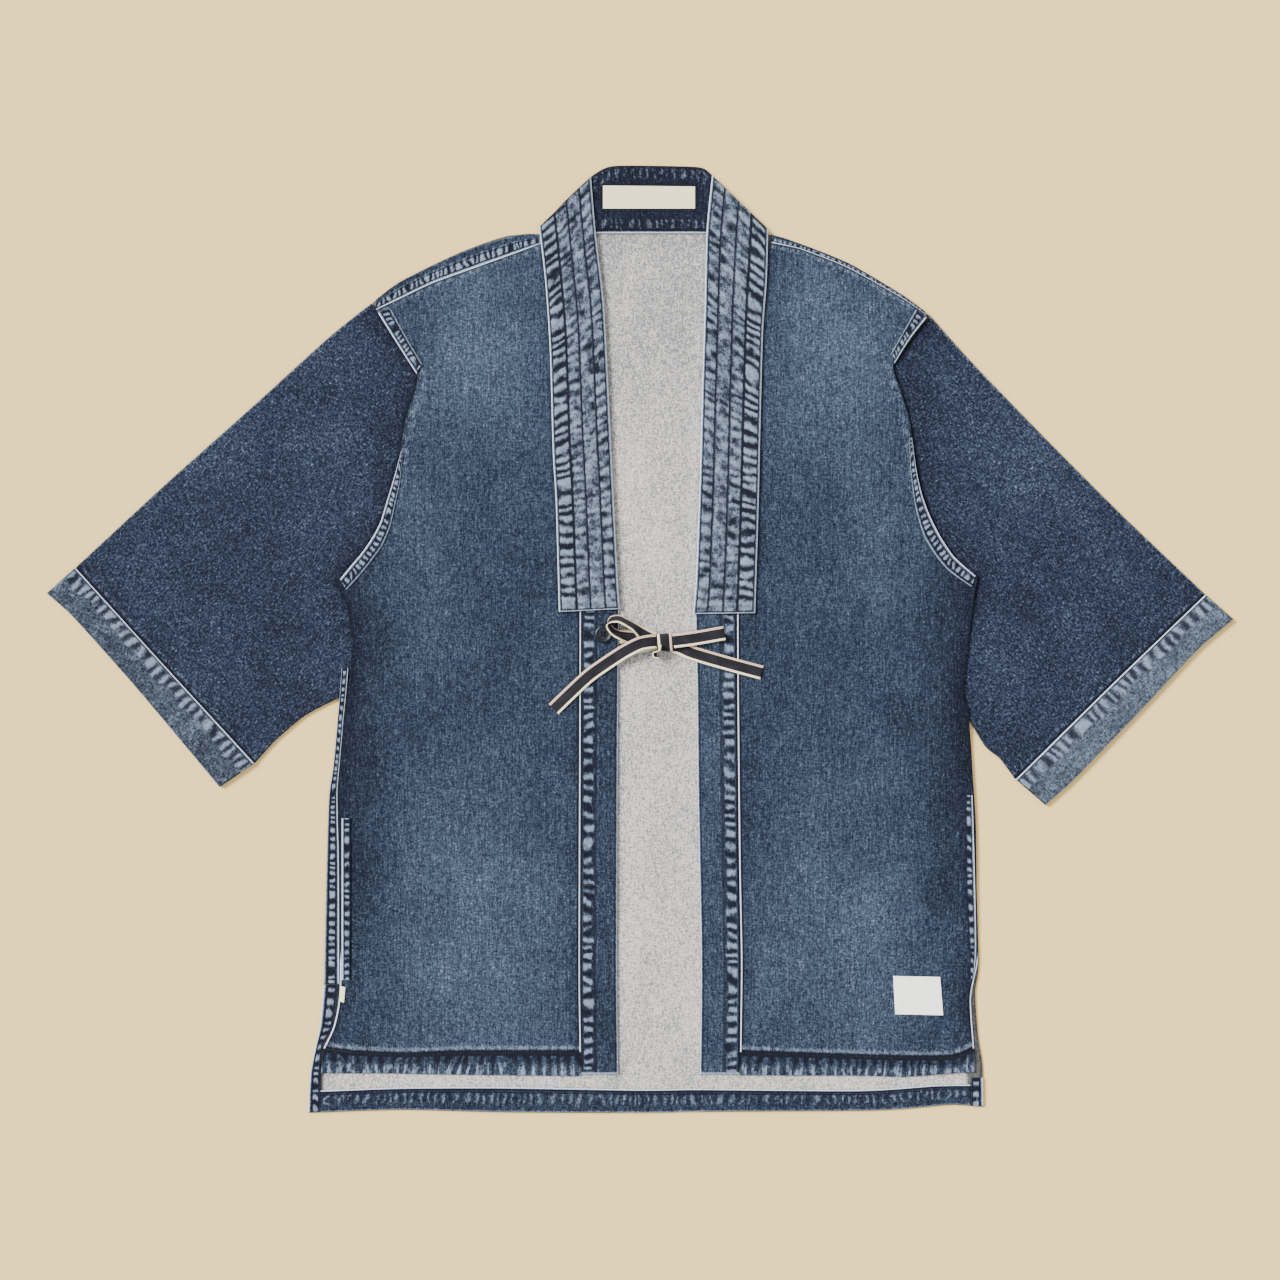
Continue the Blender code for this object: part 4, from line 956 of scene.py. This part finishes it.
def cuff_look(across, along, width, length, seed):
    """A cuff: a bright edge at its seam, pale rungs beside it, and a mottled band down to the opening."""
    rung = puckers(along, 0.5 * across, 9.2, seed)
    reach = 13.5 + 2.5 * blots(along, 0 * along, 10, seed + 21)
    teeth = window(across, 2.9, reach, 3.0)
    blot = 0.6 * blots(along, across, 8, seed + 13) + 0.5 * blots(along, across, 3.2, seed + 14)
    blot = blot * (1 - teeth)
    pale = np.max([window(across, -1, 1.1), teeth * (0.22 + 0.36 * rung), 0.42 * blot,
                   0.5 * window(across, width - 0.9, width + 9)], axis=0)
    navy = np.max([window(across, 1.3, 2.7), -teeth * (rung * 0.75 + 0.12), -0.42 * blot,
                   0.6 * window(across, width - 2.0, width - 1.1)], axis=0)
    return {"height": 0.34 * rung * teeth + 0.08 * blot, "pale": pale, "navy": navy}


COLLAR_GROOVES = (0.295, 0.525, 0.77)


def collar_look(across, along, width, length, seed):
    """The band's channels: the outermost crossed by strong rungs, the others mottled."""
    share = across / width
    bounds = np.array((0.0,) + COLLAR_GROOVES + (1.0,))
    channel = np.clip(np.searchsorted(bounds, share, side="right") - 1, 0, 3)
    inside = (share - bounds[channel]) / (bounds[channel + 1] - bounds[channel])
    swell = np.sin(math.pi * np.clip(inside, 0, 1)) ** 0.6
    pale, navy, height = np.zeros_like(share), np.zeros_like(share), np.zeros_like(share)
    for k in range(4):
        here = channel == k
        rung = puckers(along + 4.7 * k, 0.7 * across, (9.8, 9.0, 10.5, 9.4)[k], seed + 17 * k)
        blot = blots(along, across, 5.0, seed + 17 * k + 9)
        blot = blot + 0.5 * blots(along, across, 2.2, seed + 17 * k + 12)
        mixed = (0.85, 0.45, 0.25, 0.55)[k] * rung + (0.35, 0.65, 0.7, 0.55)[k] * blot
        bare = window(inside, 0.06, 0.94, 0.12)
        pale = np.where(here, bare * ((0.26, 0.25, 0.28, 0.25)[k] + 0.44 * mixed), pale)
        navy = np.where(here, bare * ((0.08, -0.08, -0.16, -0.04)[k] - 1.05 * mixed), navy)
        height = np.where(here, 0.34 * mixed * swell, height)
    low = length - along
    foot = window(low, 3.2, 15, 3)
    pale = np.maximum(pale, foot * (0.36 + 0.3 * blots(along, across, 5, seed + 77)))
    navy *= 1 - 0.7 * foot
    for k, groove in enumerate(COLLAR_GROOVES):
        half = 1.1 if k == 0 else 0.7
        cut = window(across, groove * width - half, groove * width + half, 0.5)
        navy, pale = np.maximum(navy, cut), pale * (1 - cut)
    edge = np.min([across, width - across, low], axis=0)
    line = window(edge, 1.15, 2.4)
    pale = np.where(edge < 2.4, window(edge, -1, 1.0), pale)
    navy = np.maximum(np.where(edge < 1.1, 0, navy), line)
    return {"height": height - 0.15 * line, "pale": pale, "navy": navy}


def main():
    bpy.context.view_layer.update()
    face = denim("denim_face", ("face_dark", "face", "face_light"))
    sleeve_face = denim("denim_sleeve", ("sleeve_dark", "sleeve", "sleeve_light"), warp=(1.3, 3.2),
                        streaks=0.19, flecks=0.31, slubs=0.03)
    washed = denim("denim_washed", ("washed_dark", "washed", "washed_light"), warp=(1.2, 4.0), slubs=0.02,
                   mottle=0.04, blotch=0.07)
    reverse = reverse_denim("denim_reverse")
    tape, thread = tape_material(), thread_material("thread_navy", "thread")
    labels = {"neck_label": label_material("label_cream", "label"),
              "hem_label": label_material("label_white", "white"),
              "side_tab": label_material("label_tab", "cream")}
    build_body(face, reverse)
    build_sleeves(sleeve_face, washed, reverse)
    build_collar(face, washed)
    build_bands(face, reverse)
    build_trims(tape, labels)
    make_stitches(thread)
    claim("stitches")
    dress_button(thread)
    set_stage()
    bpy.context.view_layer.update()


def across_at(line, y):
    """Where a line that runs down the garment crosses each height."""
    points = line(np.linspace(0, 1, 400))
    order = np.argsort(points[:, 1])
    return np.interp(y, points[order, 1], points[order, 0])


def front_patch(side):
    return patch_between(line_of(FRONT_SHOULDER[side][::-1]), line_of(HEM_SEAM[side][::-1]),
                         line_of(FRONT_EDGE_SEAM[side]), line_of(FRONT_SIDE[side]))


def back_edge(side):
    armhole, below = line_of(ARMHOLE[side]), line_of(BACK_SIDE[side])

    def at(v):
        v = np.asarray(v, float)
        return np.where((v < 0.5)[..., None], armhole(2 * v), below(2 * v - 1))

    return at


def build_body(face, reverse):
    """The back and the two fronts."""
    patch = patch_between(line_of(BACK_TOP_EDGE), line_of(BACK_HEM_EDGE), back_edge("right"),
                          back_edge("left"))
    collar_inner = {side: line_of(COLLAR_INNER[side]) for side in ("right", "left")}

    def back_detail(x, y, u, v):
        soft = 0.5 * np.exp(-(((x - 30) / 9) ** 2) - ((y - 150) / 120) ** 4)
        soft += 0.4 * np.exp(-(((x + 2 + 0.05 * (y + 200)) / 8) ** 2) - ((y + 150) / 110) ** 4)
        neck = 0.25 * puckers(x, NECK_SEAM_Y - y, 8, 91) * np.exp(-(((NECK_SEAM_Y - y) / 12) ** 2))
        inside = ease((x + 12) / 8) * ease((44 - x) / 8)
        collar_x = {side: across_at(line, y) for side, line in collar_inner.items()}
        gap = (window(x, collar_x["right"] - 4, collar_x["left"] + 4) * (y > 30)
               + window(x, -22, 54) * (y <= 30))
        open_part = np.maximum(gap, window(y, -390, -364) * window(x, -269, 280))
        # Painted shadow on the lining: beside the inner edge of the wearer's right collar and facing, under
        # the neck seam, and darker towards the neck.
        near_left = x - np.where(y > 30, collar_x["right"], -18.5)
        shadow = np.exp(-((near_left / 5) ** 2)) + 0.6 * np.exp(-(((NECK_SEAM_Y - y) / 12) ** 2))
        # Painted shade: the navy makes the lining near black wherever other pieces cover it, seen only in the
        # gaps between them.
        return {"height": (soft + neck) * inside, "navy": 1.4 * (1 - open_part),
                "wear": 0.75 * ease((300 - y) / 200) - 0.65 - 0.7 * shadow * gap}

    cloth("back", patch, np.linspace(0, 1, 100), np.linspace(0, 1, 130), level(0), level(BACK_TOP),
          back_detail, reverse, face, roll=0)
    claim("back", "back_panel", flat=(0.5736, 0.7475))
    for side in ("right", "left"):
        name = "front_" + side
        patch = front_patch(side)
        edge_line = line_of(FRONT_SIDE[side])

        def under(x, y, u, v, patch=patch, name=name):
            place = patch(np.ones_like(v), v)
            distance = np.hypot(x - place[:, 0], y - place[:, 1])
            return FRONT_LOW + arm_lift(distance, y) + fold_relief(name, x, y) * inner_mask(u, v, 0.10, 0.05)

        seams = {"edge": line_of(FRONT_EDGE_SEAM[side]), "hem": line_of(HEM_SEAM[side]),
                 "side": line_of(FRONT_SIDE[side]), "collar": line_of(COLLAR_OUTER[side]),
                 "shoulder": line_of(FRONT_SHOULDER[side])}

        def detail(x, y, u, v, name=name, seams=seams, seed=20 if side == "right" else 60):
            away = {key: near_line(x, y, line) for key, line in seams.items()}
            edge, hem, beside, collar, shoulder = (away[key][0] for key in seams)
            at_hem, at_side = away["hem"][1], away["side"][1]
            arm = ease((y - 40) / 30)
            ripple = puckers(at_side, beside, 11, seed) * np.exp(-((beside / 9) ** 2)) * arm
            soft = puckers(at_hem, hem, 8.5, seed + 5) * np.exp(-((hem / 5) ** 2))
            run = puckers(away["shoulder"][1], shoulder, 8, seed + 7) * np.exp(-((shoulder / 6) ** 2))
            low_side = ease((-262 - y) / 12)
            pale = np.max([window(edge, -1, 1.1), (0.34 + 0.14 * soft) * window(hem, 2.2, 5.0, 1.4),
                           window(beside, -1, 1.2) * low_side,
                           0.20 * arm * np.exp(-(((beside - 5) / 4) ** 2)) + 0.12 * ripple,
                           0.22 * window(shoulder, 0.5, 4, 2) + 0.1 * run], axis=0)
            # The navy includes painted shade: a soft dark line on the front beside the collar's outer edge.
            navy = np.max([window(edge, 1.3, 2.7) * 0.95, 0.9 * window(beside, 1.3, 2.6) * low_side,
                           0.9 * window(hem, 0.2, 1.7), 0.45 * np.exp(-((collar / 2.6) ** 2)),
                           0.35 * window(beside, -1, 1.6) * (1 - low_side),
                           0.5 * window(shoulder, -1, 0.8)], axis=0)
            height = 0.35 * ripple + 0.25 * soft + 0.2 * run
            # Painted shade along the side edge below the armhole, over the table's wash, wear and painted
            # side shade; also darker beside the front edge seam.
            wear = (wear_and_shade_at(name, x, y) - 0.5 * (1 - arm) * np.exp(-((beside / 10) ** 2))
                    - 0.25 * np.exp(-((edge / 9) ** 2)))
            return {"pale": pale, "navy": navy, "wear": wear,
                    "height": height * inner_mask(u, v, 0.012, 0.004)}

        width, length = 200.0, 690.0
        cloth(name, patch, spaced(width, 3.3, 0.5, 6), spaced(length, 3.3, 0.5, 6), under,
              raised(under, CLOTH), detail, face, reverse)
        claim(name, name, flat=(0.235, 0.700))


def build_sleeves(sleeve_face, washed, reverse):
    for side, outward in (("right", -1), ("left", 1)):
        armhole = moved_line(line_of(ARMHOLE[side]), (outward * 1.5 * GAP, 0))
        fold = Line([armhole(0.0)] + [(row.x, row.y) for row in SLEEVE_FOLD[side][1:]])
        under = Line([armhole(1.0)] + [(row.x, row.y) for row in SLEEVE_UNDER[side][1:]])
        patch = patch_between(fold, under, armhole, line_of(CUFF_SEAM[side]))
        name = "sleeve_" + side
        body, cuff = line_of(FRONT_SIDE[side][:11]), line_of(CUFF_SEAM[side])

        def detail(x, y, u, v, name=name, body=body, cuff=cuff, fold=fold,
                   seed=140 if side == "right" else 190):
            near_body, at_body = near_line(x, y, body)
            near_cuff, at_cuff = near_line(x, y, cuff)
            at_fold = near_line(x, y, fold)[0]
            soft = puckers(at_cuff, near_cuff, 9.2, seed) * np.exp(-((near_cuff / 6) ** 2))
            gather = puckers(at_body, near_body, 12, seed + 4) * np.exp(-((near_body / 13) ** 2))
            pale = np.max([0.16 * window(near_cuff, 2.4, 5, 1.5) * (1 + soft), 0.12 * gather,
                           0.25 * window(at_fold, -1, 1.5)], axis=0)
            # Painted shadow: a dark band on the sleeve along the body's edge, and below it a wider soft
            # painted shade beside that edge; the sleeve is also darker towards the cuff seam.
            navy = np.maximum(0.95 * window(near_cuff, -1, 1.5), 0.75 * np.exp(-((near_body / 3.4) ** 2)))
            wear = (wear_and_shade_at(name, x, y) - 0.35 * np.exp(-((near_body / 16) ** 2))
                    - 0.2 * np.exp(-((near_cuff / 10) ** 2)))
            height = (0.3 * soft + 0.5 * gather) * inner_mask(u, v, 0.02, 0.02)
            return {"pale": pale, "navy": navy, "wear": wear,
                    "height": height + fold_relief(name, x, y) * inner_mask(u, v, 0.16, 0.16)}

        tube(name, patch, CLOTH, 290.0, 330.0, detail, sleeve_face, reverse, grain=SLEEVE_GRAIN[side],
             pitch=4.0, fine=7.0)
        claim(name, name, flat=(0.58, 0.345))
        seam = moved_line(line_of(CUFF_SEAM[side]), (outward * 1.2 * GAP, -1.2 * GAP))
        edge = line_of(CUFF_EDGE[side])
        patch = patch_between(Line([seam(0.0), edge(0.0)]), Line([seam(1.0), edge(1.0)]), seam, edge)
        name = "cuff_" + side

        def turned(x, y, u, v, side=side, seed=230 if side == "right" else 255):
            found = cuff_look(u * 33.0, v * 226.0, 33.0, 226.0, seed)
            found["height"] = found["height"] * inner_mask(u, v, 0.05, 0.02)
            found["wear"] = np.full_like(x, CUFF_WEAR[side])
            return found

        tube(name, patch, 1.8, 33.0, 226.0, turned, washed, washed, grain=SLEEVE_GRAIN[side], pitch=1.0)
        claim(name, name, flat=(0.45, 0.034))
        for inset in (2.4, 30.6):
            v = np.linspace(0.01, 0.99, 80)
            stitch_along(patch(np.full_like(v, inset / 33.0), v), name)


def build_collar(face, washed):
    for side in ("right", "left"):
        outer, inner = line_of(COLLAR_OUTER[side]), line_of(COLLAR_INNER[side])
        patch = strip_between(outer, inner)
        toward = 1 if side == "right" else -1
        front_edge = line_of(FRONT_EDGE_SEAM[side])

        def under(x, y, u, v, toward=toward, front_edge=front_edge):
            past_front = toward * (x - across_at(front_edge, y))
            low = np.full_like(x, COLLAR_LOW)
            low = np.where((past_front > 4.2) & (y < NECK_SEAM_Y - 16), FRONT_LOW, low)
            return np.where((past_front > -4.5) & (y < FACING_START_Y + 16), FRONT_LOW + HEM + GAP, low)

        def over(x, y, u, v):
            bounds = np.array((0.0,) + COLLAR_GROOVES + (1.0,))
            channel = np.clip(np.searchsorted(bounds, u, side="right") - 1, 0, 3)
            inside = np.clip((u - bounds[channel]) / (bounds[channel + 1] - bounds[channel]), 0, 1)
            return COLLAR_LOW + COLLAR - COLLAR_GROOVE + COLLAR_GROOVE * np.sin(math.pi * inside) ** 0.7

        width, length = 49.0, 371.0

        def detail(x, y, u, v, seed=300 if side == "right" else 380):
            return collar_look(u * width, v * length, width, length, seed)

        name = "collar_" + side
        cloth(name, patch, spaced(width, 1.0, 1.0), spaced(length, 1.1, 1.0), under, over, detail, washed,
              washed, roll=1.0)
        claim(name, name, flat=(0.050, 0.372))
        v = np.linspace(0, 1, 200)
        for groove in COLLAR_GROOVES:
            stitch_along(patch(np.full_like(v, groove), v), name)
        stitch_along(patch(np.full_like(v, 0.04), v), name)
        stitch_along(patch(np.full_like(v, 0.96), v), name)
        u = np.linspace(0.06, 0.94, 20)
        stitch_along(patch(u, np.full_like(u, 1 - 2.6 / length)), name)
    patch = patch_between(line_of(COLLAR_BACK_EDGE), line_of(COLLAR_BACK_LOW),
                          Line([(-83.5, 352), (-83.5, 345.6)]), Line([(106.5, 350.2), (106.5, 345.6)]))

    def inside(x, y, u, v):
        top_away = near_line(x, y, line_of(COLLAR_BACK_EDGE), 60)[0]
        low_away = y - NECK_SEAM_Y
        rung = puckers(x, low_away, 6.2, 411)
        flecked = np.maximum(window(top_away, 2.5, 11, 2), window(low_away, 3.8, 12, 2))
        frame_of_label = window(x, -35, 50.5, 2) * window(y, 363.5, 389, 2)
        pale = np.maximum(flecked * (0.04 + 0.28 * rung), 0.95 * window(low_away, -1, 1.2))
        navy = np.max([window(low_away, 1.4, 3.6), 0.45 * frame_of_label, -0.5 * flecked * rung,
                       0.5 * window(top_away, -1, 1.4), np.full_like(x, 0.24)], axis=0)
        return {"height": 0.25 * rung * flecked * inner_mask(u, v, 0.02, 0.04), "pale": pale, "navy": navy,
                "wear": np.full_like(x, -0.75)}

    cloth("collar_back", patch, np.linspace(0, 1, 130), spaced(56, 1.5, 0.6), level(0),
          level(COLLAR_BACK_TOP), inside, face, washed, roll=0.6)
    claim("collar_back", "collar_back", flat=(0.190, 0.0576))
    stitch_along(np.column_stack([np.linspace(-32, 54, 60), np.full(60, NECK_SEAM_Y + 3)]), "collar_back")


def build_bands(face, reverse):
    """Facings, hems, vents, felled seams and pocket welts."""
    for side, clear in (("right", 1), ("left", -1)):
        inner = line_of(FACING_INNER[side])
        front_edge = line_of(FRONT_EDGE_SEAM[side])

        def beside_front(share, inner=inner, front_edge=front_edge, clear=clear):
            y = inner(share)[..., 1]
            x = across_at(front_edge, np.maximum(y, -350)) + clear * 1.5 * GAP
            return np.stack([x, y], axis=-1)

        strip("facing_" + side, strip_between(beside_front, inner), 32.0, 401.0, FRONT_LOW, HEM, face,
              reverse, 420 if side == "right" else 450, facing_look, roll=0.8,
              stitches=(1.2, 12.9, 30.2), pitch=1.15, wear=FACING_WEAR[side])
        seam = moved_line(line_of(HEM_SEAM[side]), (-clear * 0.5, -0.5))
        edge = moved_line(line_of(HEM_EDGE[side]), (-clear * 0.5, 0))
        strip("front_hem_" + side, strip_between(seam, edge), 17.5, 200.0, FRONT_LOW, HEM, face, reverse,
              480 if side == "right" else 500, hem_look, roll=0.8, stitches=(1.4,))
        table = VENT_FACING[side]
        outer = Line([(row.outer, row.y) for row in table])
        inner = Line([(row.inner, row.y) for row in table])
        strip("vent_facing_" + side, strip_between(outer, inner), 10.0, 108.0 if side == "right" else 24.0,
              FRONT_LOW, CLOTH, face, reverse, 520, vent_look, stitches=(2.4, 8.6))
        table = SHOULDER_SEAM[side]
        corner = FRONT_SHOULDER[side][0]
        outer = Line([(row.x, row.outer) for row in table])
        inner = Line([(row.x, row.inner + GAP) for row in table])

        def lifted(x, y, u, v, corner=corner):
            return FRONT_LOW + arm_lift(np.hypot(x - corner.x, y - corner.y), y)

        strip("shoulder_seam_" + side, strip_between(outer, inner), 13.0 if side == "right" else 5.0, 150.0,
              lifted, SEAM_STRIP, face, face, 560 if side == "right" else 580, shoulder_look,
              stitches=(0.45, 0.85))
        table = POCKET_WELT[side]
        outer = Line([(row.outer, row.y) for row in table])
        inner = Line([(row.inner, row.y) for row in table])
        strip("pocket_welt_" + side, strip_between(outer, inner), 7.5, 137.0,
              height_over("front_" + side, GAP), TOPSTITCHED_STRIP, face, face, 600, welt_look,
              stitches=(1.9,))
    for name, table in ARMHOLE_SEAM.items():
        outer = Line([(row.x0, row.y0) for row in table])
        inner = Line([(row.x1, row.y1) for row in table])
        strip("armhole_seam_" + name, strip_between(outer, inner), 10.0, outer.length,
              height_over("front_" + name.split("_")[0], GAP), TOPSTITCHED_STRIP, face, face,
              620 + len(table), felled(), stitches=(0.22, 0.79))
    outer = Line([(row.outer, row.y) for row in SIDE_SEAM])
    inner = Line([(row.inner, row.y) for row in SIDE_SEAM])

    def side_lifted(x, y, u, v):
        return FRONT_LOW + arm_lift(np.zeros_like(x), y)

    strip("side_seam_right", strip_between(outer, inner), 9.0, 268.0, side_lifted, SEAM_STRIP, face, face,
          660, felled(6.0, turned=True), stitches=(0.22, 0.79))
    top, edge = line_of(BACK_HEM_TOP), line_of(BACK_HEM_EDGE)
    run = edge(np.linspace(0, 1, 400))

    def hem_edge(share):
        x = top(share)[..., 0]
        return np.stack([x, np.interp(x, run[:, 0], run[:, 1]) + 0.6], axis=-1)

    strip("back_hem", strip_between(top, hem_edge), 20.5, 552.0, FRONT_LOW, CLOTH, face, reverse, 700,
          back_hem_look, stitches=(1.9, 4.0), roll=0.5)


def strip(name, patch, width, length, low, thickness, face, reverse, seed, look, roll=0.4, stitches=(),
          pitch=1.0, wear=0.0):
    """A narrow band of cloth with its own look. Rows of stitches are placed across it, under 1 as shares."""
    base = low if callable(low) else level(low)

    def detail(x, y, u, v):
        found = look(u * width, v * length, width, length, seed)
        found["height"] = found["height"] * inner_mask(u, v, 1.2 / width, 1.2 / length)
        found["wear"] = found.get("wear", np.zeros_like(x)) + wear
        return found

    fine = min(0.9, width / 9) if width < 15 else pitch
    cloth(name, patch, spaced(width, fine, roll), spaced(length, pitch, roll), base, raised(base, thickness),
          detail, face, reverse, roll=roll)
    claim(name, name, flat=(max(width * MM, LEAST_FLAT_SIDE), length * MM))
    v = np.linspace(0.004, 0.996, 120)
    for place in stitches:
        stitch_along(patch(np.full_like(v, place if place < 1 else place / width), v), name, pitch=3.2)


def height_over(piece, lift):
    """A function of place, the height of a piece's upper face there and a lift over it."""
    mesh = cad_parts[piece].data
    tree = BVHTree.FromPolygons([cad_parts[piece].matrix_world @ v.co for v in mesh.vertices],
                                [tuple(face.vertices) for face in mesh.polygons])

    def at(x, y, u, v):
        heights = np.empty_like(x)
        for i, (px, py) in enumerate(zip(x, y)):
            place = tree.ray_cast(Vector((px, py, 100)) * MM, Vector((0, 0, -1)))[0]
            if place is None:
                place = tree.find_nearest(Vector((px, py, 10)) * MM)[0]
            heights[i] = place.z / MM
        return heights + lift

    return at


def build_trims(tape, labels):
    for row in LABELS:
        base = height_over(row.base, GAP)
        patch = strip_between(Line([(row.x0, row.y0), (row.x3, row.y3)]),
                              Line([(row.x1, row.y1), (row.x2, row.y2)]))
        width = math.hypot(row.x1 - row.x0, row.y1 - row.y0)
        length = math.hypot(row.x3 - row.x0, row.y3 - row.y0)

        def plain(x, y, u, v):
            return {}

        cloth(row.name, patch, spaced(width, 1.0, 0.3), spaced(length, 1.0, 0.3), base,
              raised(base, LABEL), plain, labels[row.name], labels[row.name], roll=0.3)
        claim(row.name, row.name, flat=(max(width * MM, LEAST_FLAT_SIDE), max(length * MM, LEAST_FLAT_SIDE)))
    for name, table in TAPES.items():
        ribbon(name, table, tape)
        span = np.linalg.norm(np.diff(path_of(table)(np.linspace(0, 1, 200)), axis=0), axis=1).sum()
        claim(name, name, flat=(TAPE_WIDTH * MM, span * MM))
    turn = np.radians(np.linspace(-100, 250, 15))
    wrap = [(KNOT_MIDDLE[0] - 0.6 * math.cos(a), KNOT_MIDDLE[1] + 7.1 * math.cos(a),
             KNOT_MIDDLE[2] + 3.1 * math.sin(a), 1, 0.1 * math.cos(a), 0) for a in turn]
    wrap = rows("x y z ax ay az", *wrap)
    ribbon("tie_knot", wrap, tape, steps=6)
    claim("tie_knot", "tie_knot", flat=(TAPE_WIDTH * MM, 0.034))
    curl = rows("x y z ax ay az", (19.4, -4.5, 8.2, 0.36, 0.1, -0.92), (18.2, -7.8, 8.0, 0.36, 0.12, -0.92),
                (14.8, -9.4, 7.8, 0.3, 0.2, -0.93), (12.8, -11.2, 7.6, 0.36, 0.1, -0.92),
                (13.3, -13.8, 7.4, 0.36, -0.05, -0.92), (15.8, -15.2, 7.2, 0.3, -0.12, -0.93))
    ribbon("tie_curl", curl, tape, steps=6)
    claim("tie_curl", flat=(TAPE_WIDTH * MM, 0.0145))


dict.fromkeys(("sleeve_right", "sleeve_left"), "denim_sleeve")
dict.fromkeys(("front_right", "front_left", "collar_back", "back_hem", "vent_facing_right",
                            "vent_facing_left"), "denim_face")
dict.fromkeys(("neck_label", "hem_label", "side_tab"), "label_cloth")


def sheet_area(piece):
    """The area of cloth in a closed piece, in square metres: half of what both of its faces measure."""
    mesh = piece.data
    areas = np.empty(len(mesh.polygons))
    mesh.polygons.foreach_get("area", areas)
    return float(areas.sum()) / 2


def claim(name, node=None, flat=None):
    """Ties a piece to the frame: what it rides on and what it stands for. From its flat size it works out an
    area of cloth, which is not used.
    """
    piece = PIECES[name]
    if node:
        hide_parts(node)
    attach(piece, "root")
    if flat:
        area = min(max(sheet_area(piece), 0.3 * flat[0] * flat[1]), flat[0] * flat[1])


def dress_button(thread):
    """The frame's own button in dark resin, sewn on with a cross of thread."""
    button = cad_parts["button"]
    material = resin_material()
    for slot in button.material_slots:
        slot.material = material
    low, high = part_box("button")
    x, y = (low[0] + high[0]) / 2 / MM, (low[1] + high[1]) / 2 / MM
    z = low[2] / MM + 2.0
    rows_of = rows("x0 y0 x1 y1", (-1.45, -1.45, 1.45, 1.45), (-1.45, 1.45, 1.45, -1.45))
    points, faces = [], []
    for row in rows_of:
        along = np.array([row.x1 - row.x0, row.y1 - row.y0, 0.0])
        side = np.array([-along[1], along[0], 0.0]) / np.linalg.norm(along)
        for t in np.linspace(0, 1, 9):
            arch = np.array([0, 0, 0.45 * math.sin(math.pi * t) - 0.25])
            centre = np.array([x + row.x0, y + row.y0, z]) + along * t + arch
            for a in np.radians(np.arange(0, 360, 60)):
                points.append(centre + side * 0.42 * math.cos(a) + np.array([0, 0, 0.36 * math.sin(a)]))
    for k in range(2):
        faces.extend((grid_faces(6, 9, 54 * k, wrap=True)).tolist())
        faces.append([54 * k + i for i in range(6)][::-1])
        faces.append([54 * k + 48 + i for i in range(6)])
    new_object("button_thread", np.array(points), faces, (thread,))
    claim("button_thread")


def set_stage():
    """A plain pale floor, soft light mostly from the upper left, and a camera that looks straight down."""
    floor_mesh = bpy.data.meshes.new("floor")
    reach, level_z = 6, -0.0004
    corners = [(reach * a, reach * b, level_z) for a, b in ((-1, -1), (1, -1), (1, 1), (-1, 1))]
    floor_mesh.from_pydata(corners, [], [(0, 1, 2, 3)])
    floor = bpy.data.objects.new("floor", floor_mesh)
    bpy.context.scene.collection.objects.link(floor)
    material = bpy.data.materials.new("floor_plain")
    material.use_nodes = True
    shader = material.node_tree.nodes["Principled BSDF"]
    shader.inputs["Base Color"].default_value = shade("floor")
    shader.inputs["Roughness"].default_value = 0.9
    floor_mesh.materials.append(material)
    world = bpy.data.worlds.new("studio")
    world.use_nodes = True
    world.node_tree.nodes["Background"].inputs["Color"].default_value = (1.0, 0.99, 0.97, 1)
    world.node_tree.nodes["Background"].inputs["Strength"].default_value = 0.95
    bpy.context.scene.world = world
    lights = rows("name x y z angle strength",
                  ("key", -1.15, 0.62, 1.05, 22, 8.4), ("fill", 0.8, -0.5, 1.6, 40, 0.9))
    for row in lights:
        data = bpy.data.lights.new(row.name, "SUN")
        data.angle = math.radians(row.angle)
        data.energy = row.strength
        data.color = (1.0, 0.985, 0.96)
        lamp = bpy.data.objects.new(row.name, data)
        lamp.location = (row.x, row.y, row.z)
        lamp.rotation_euler = (-lamp.location).to_track_quat("-Z", "Y").to_euler()
        bpy.context.scene.collection.objects.link(lamp)
    data = bpy.data.cameras.new("camera")
    data.sensor_width = 36
    data.lens = 60
    view_width = 1280 * PX * MM
    camera = bpy.data.objects.new("camera", data)
    camera.location = (0, 0, view_width * data.lens / data.sensor_width + 0.002)
    bpy.context.scene.collection.objects.link(camera)
    bpy.context.scene.camera = camera


main()
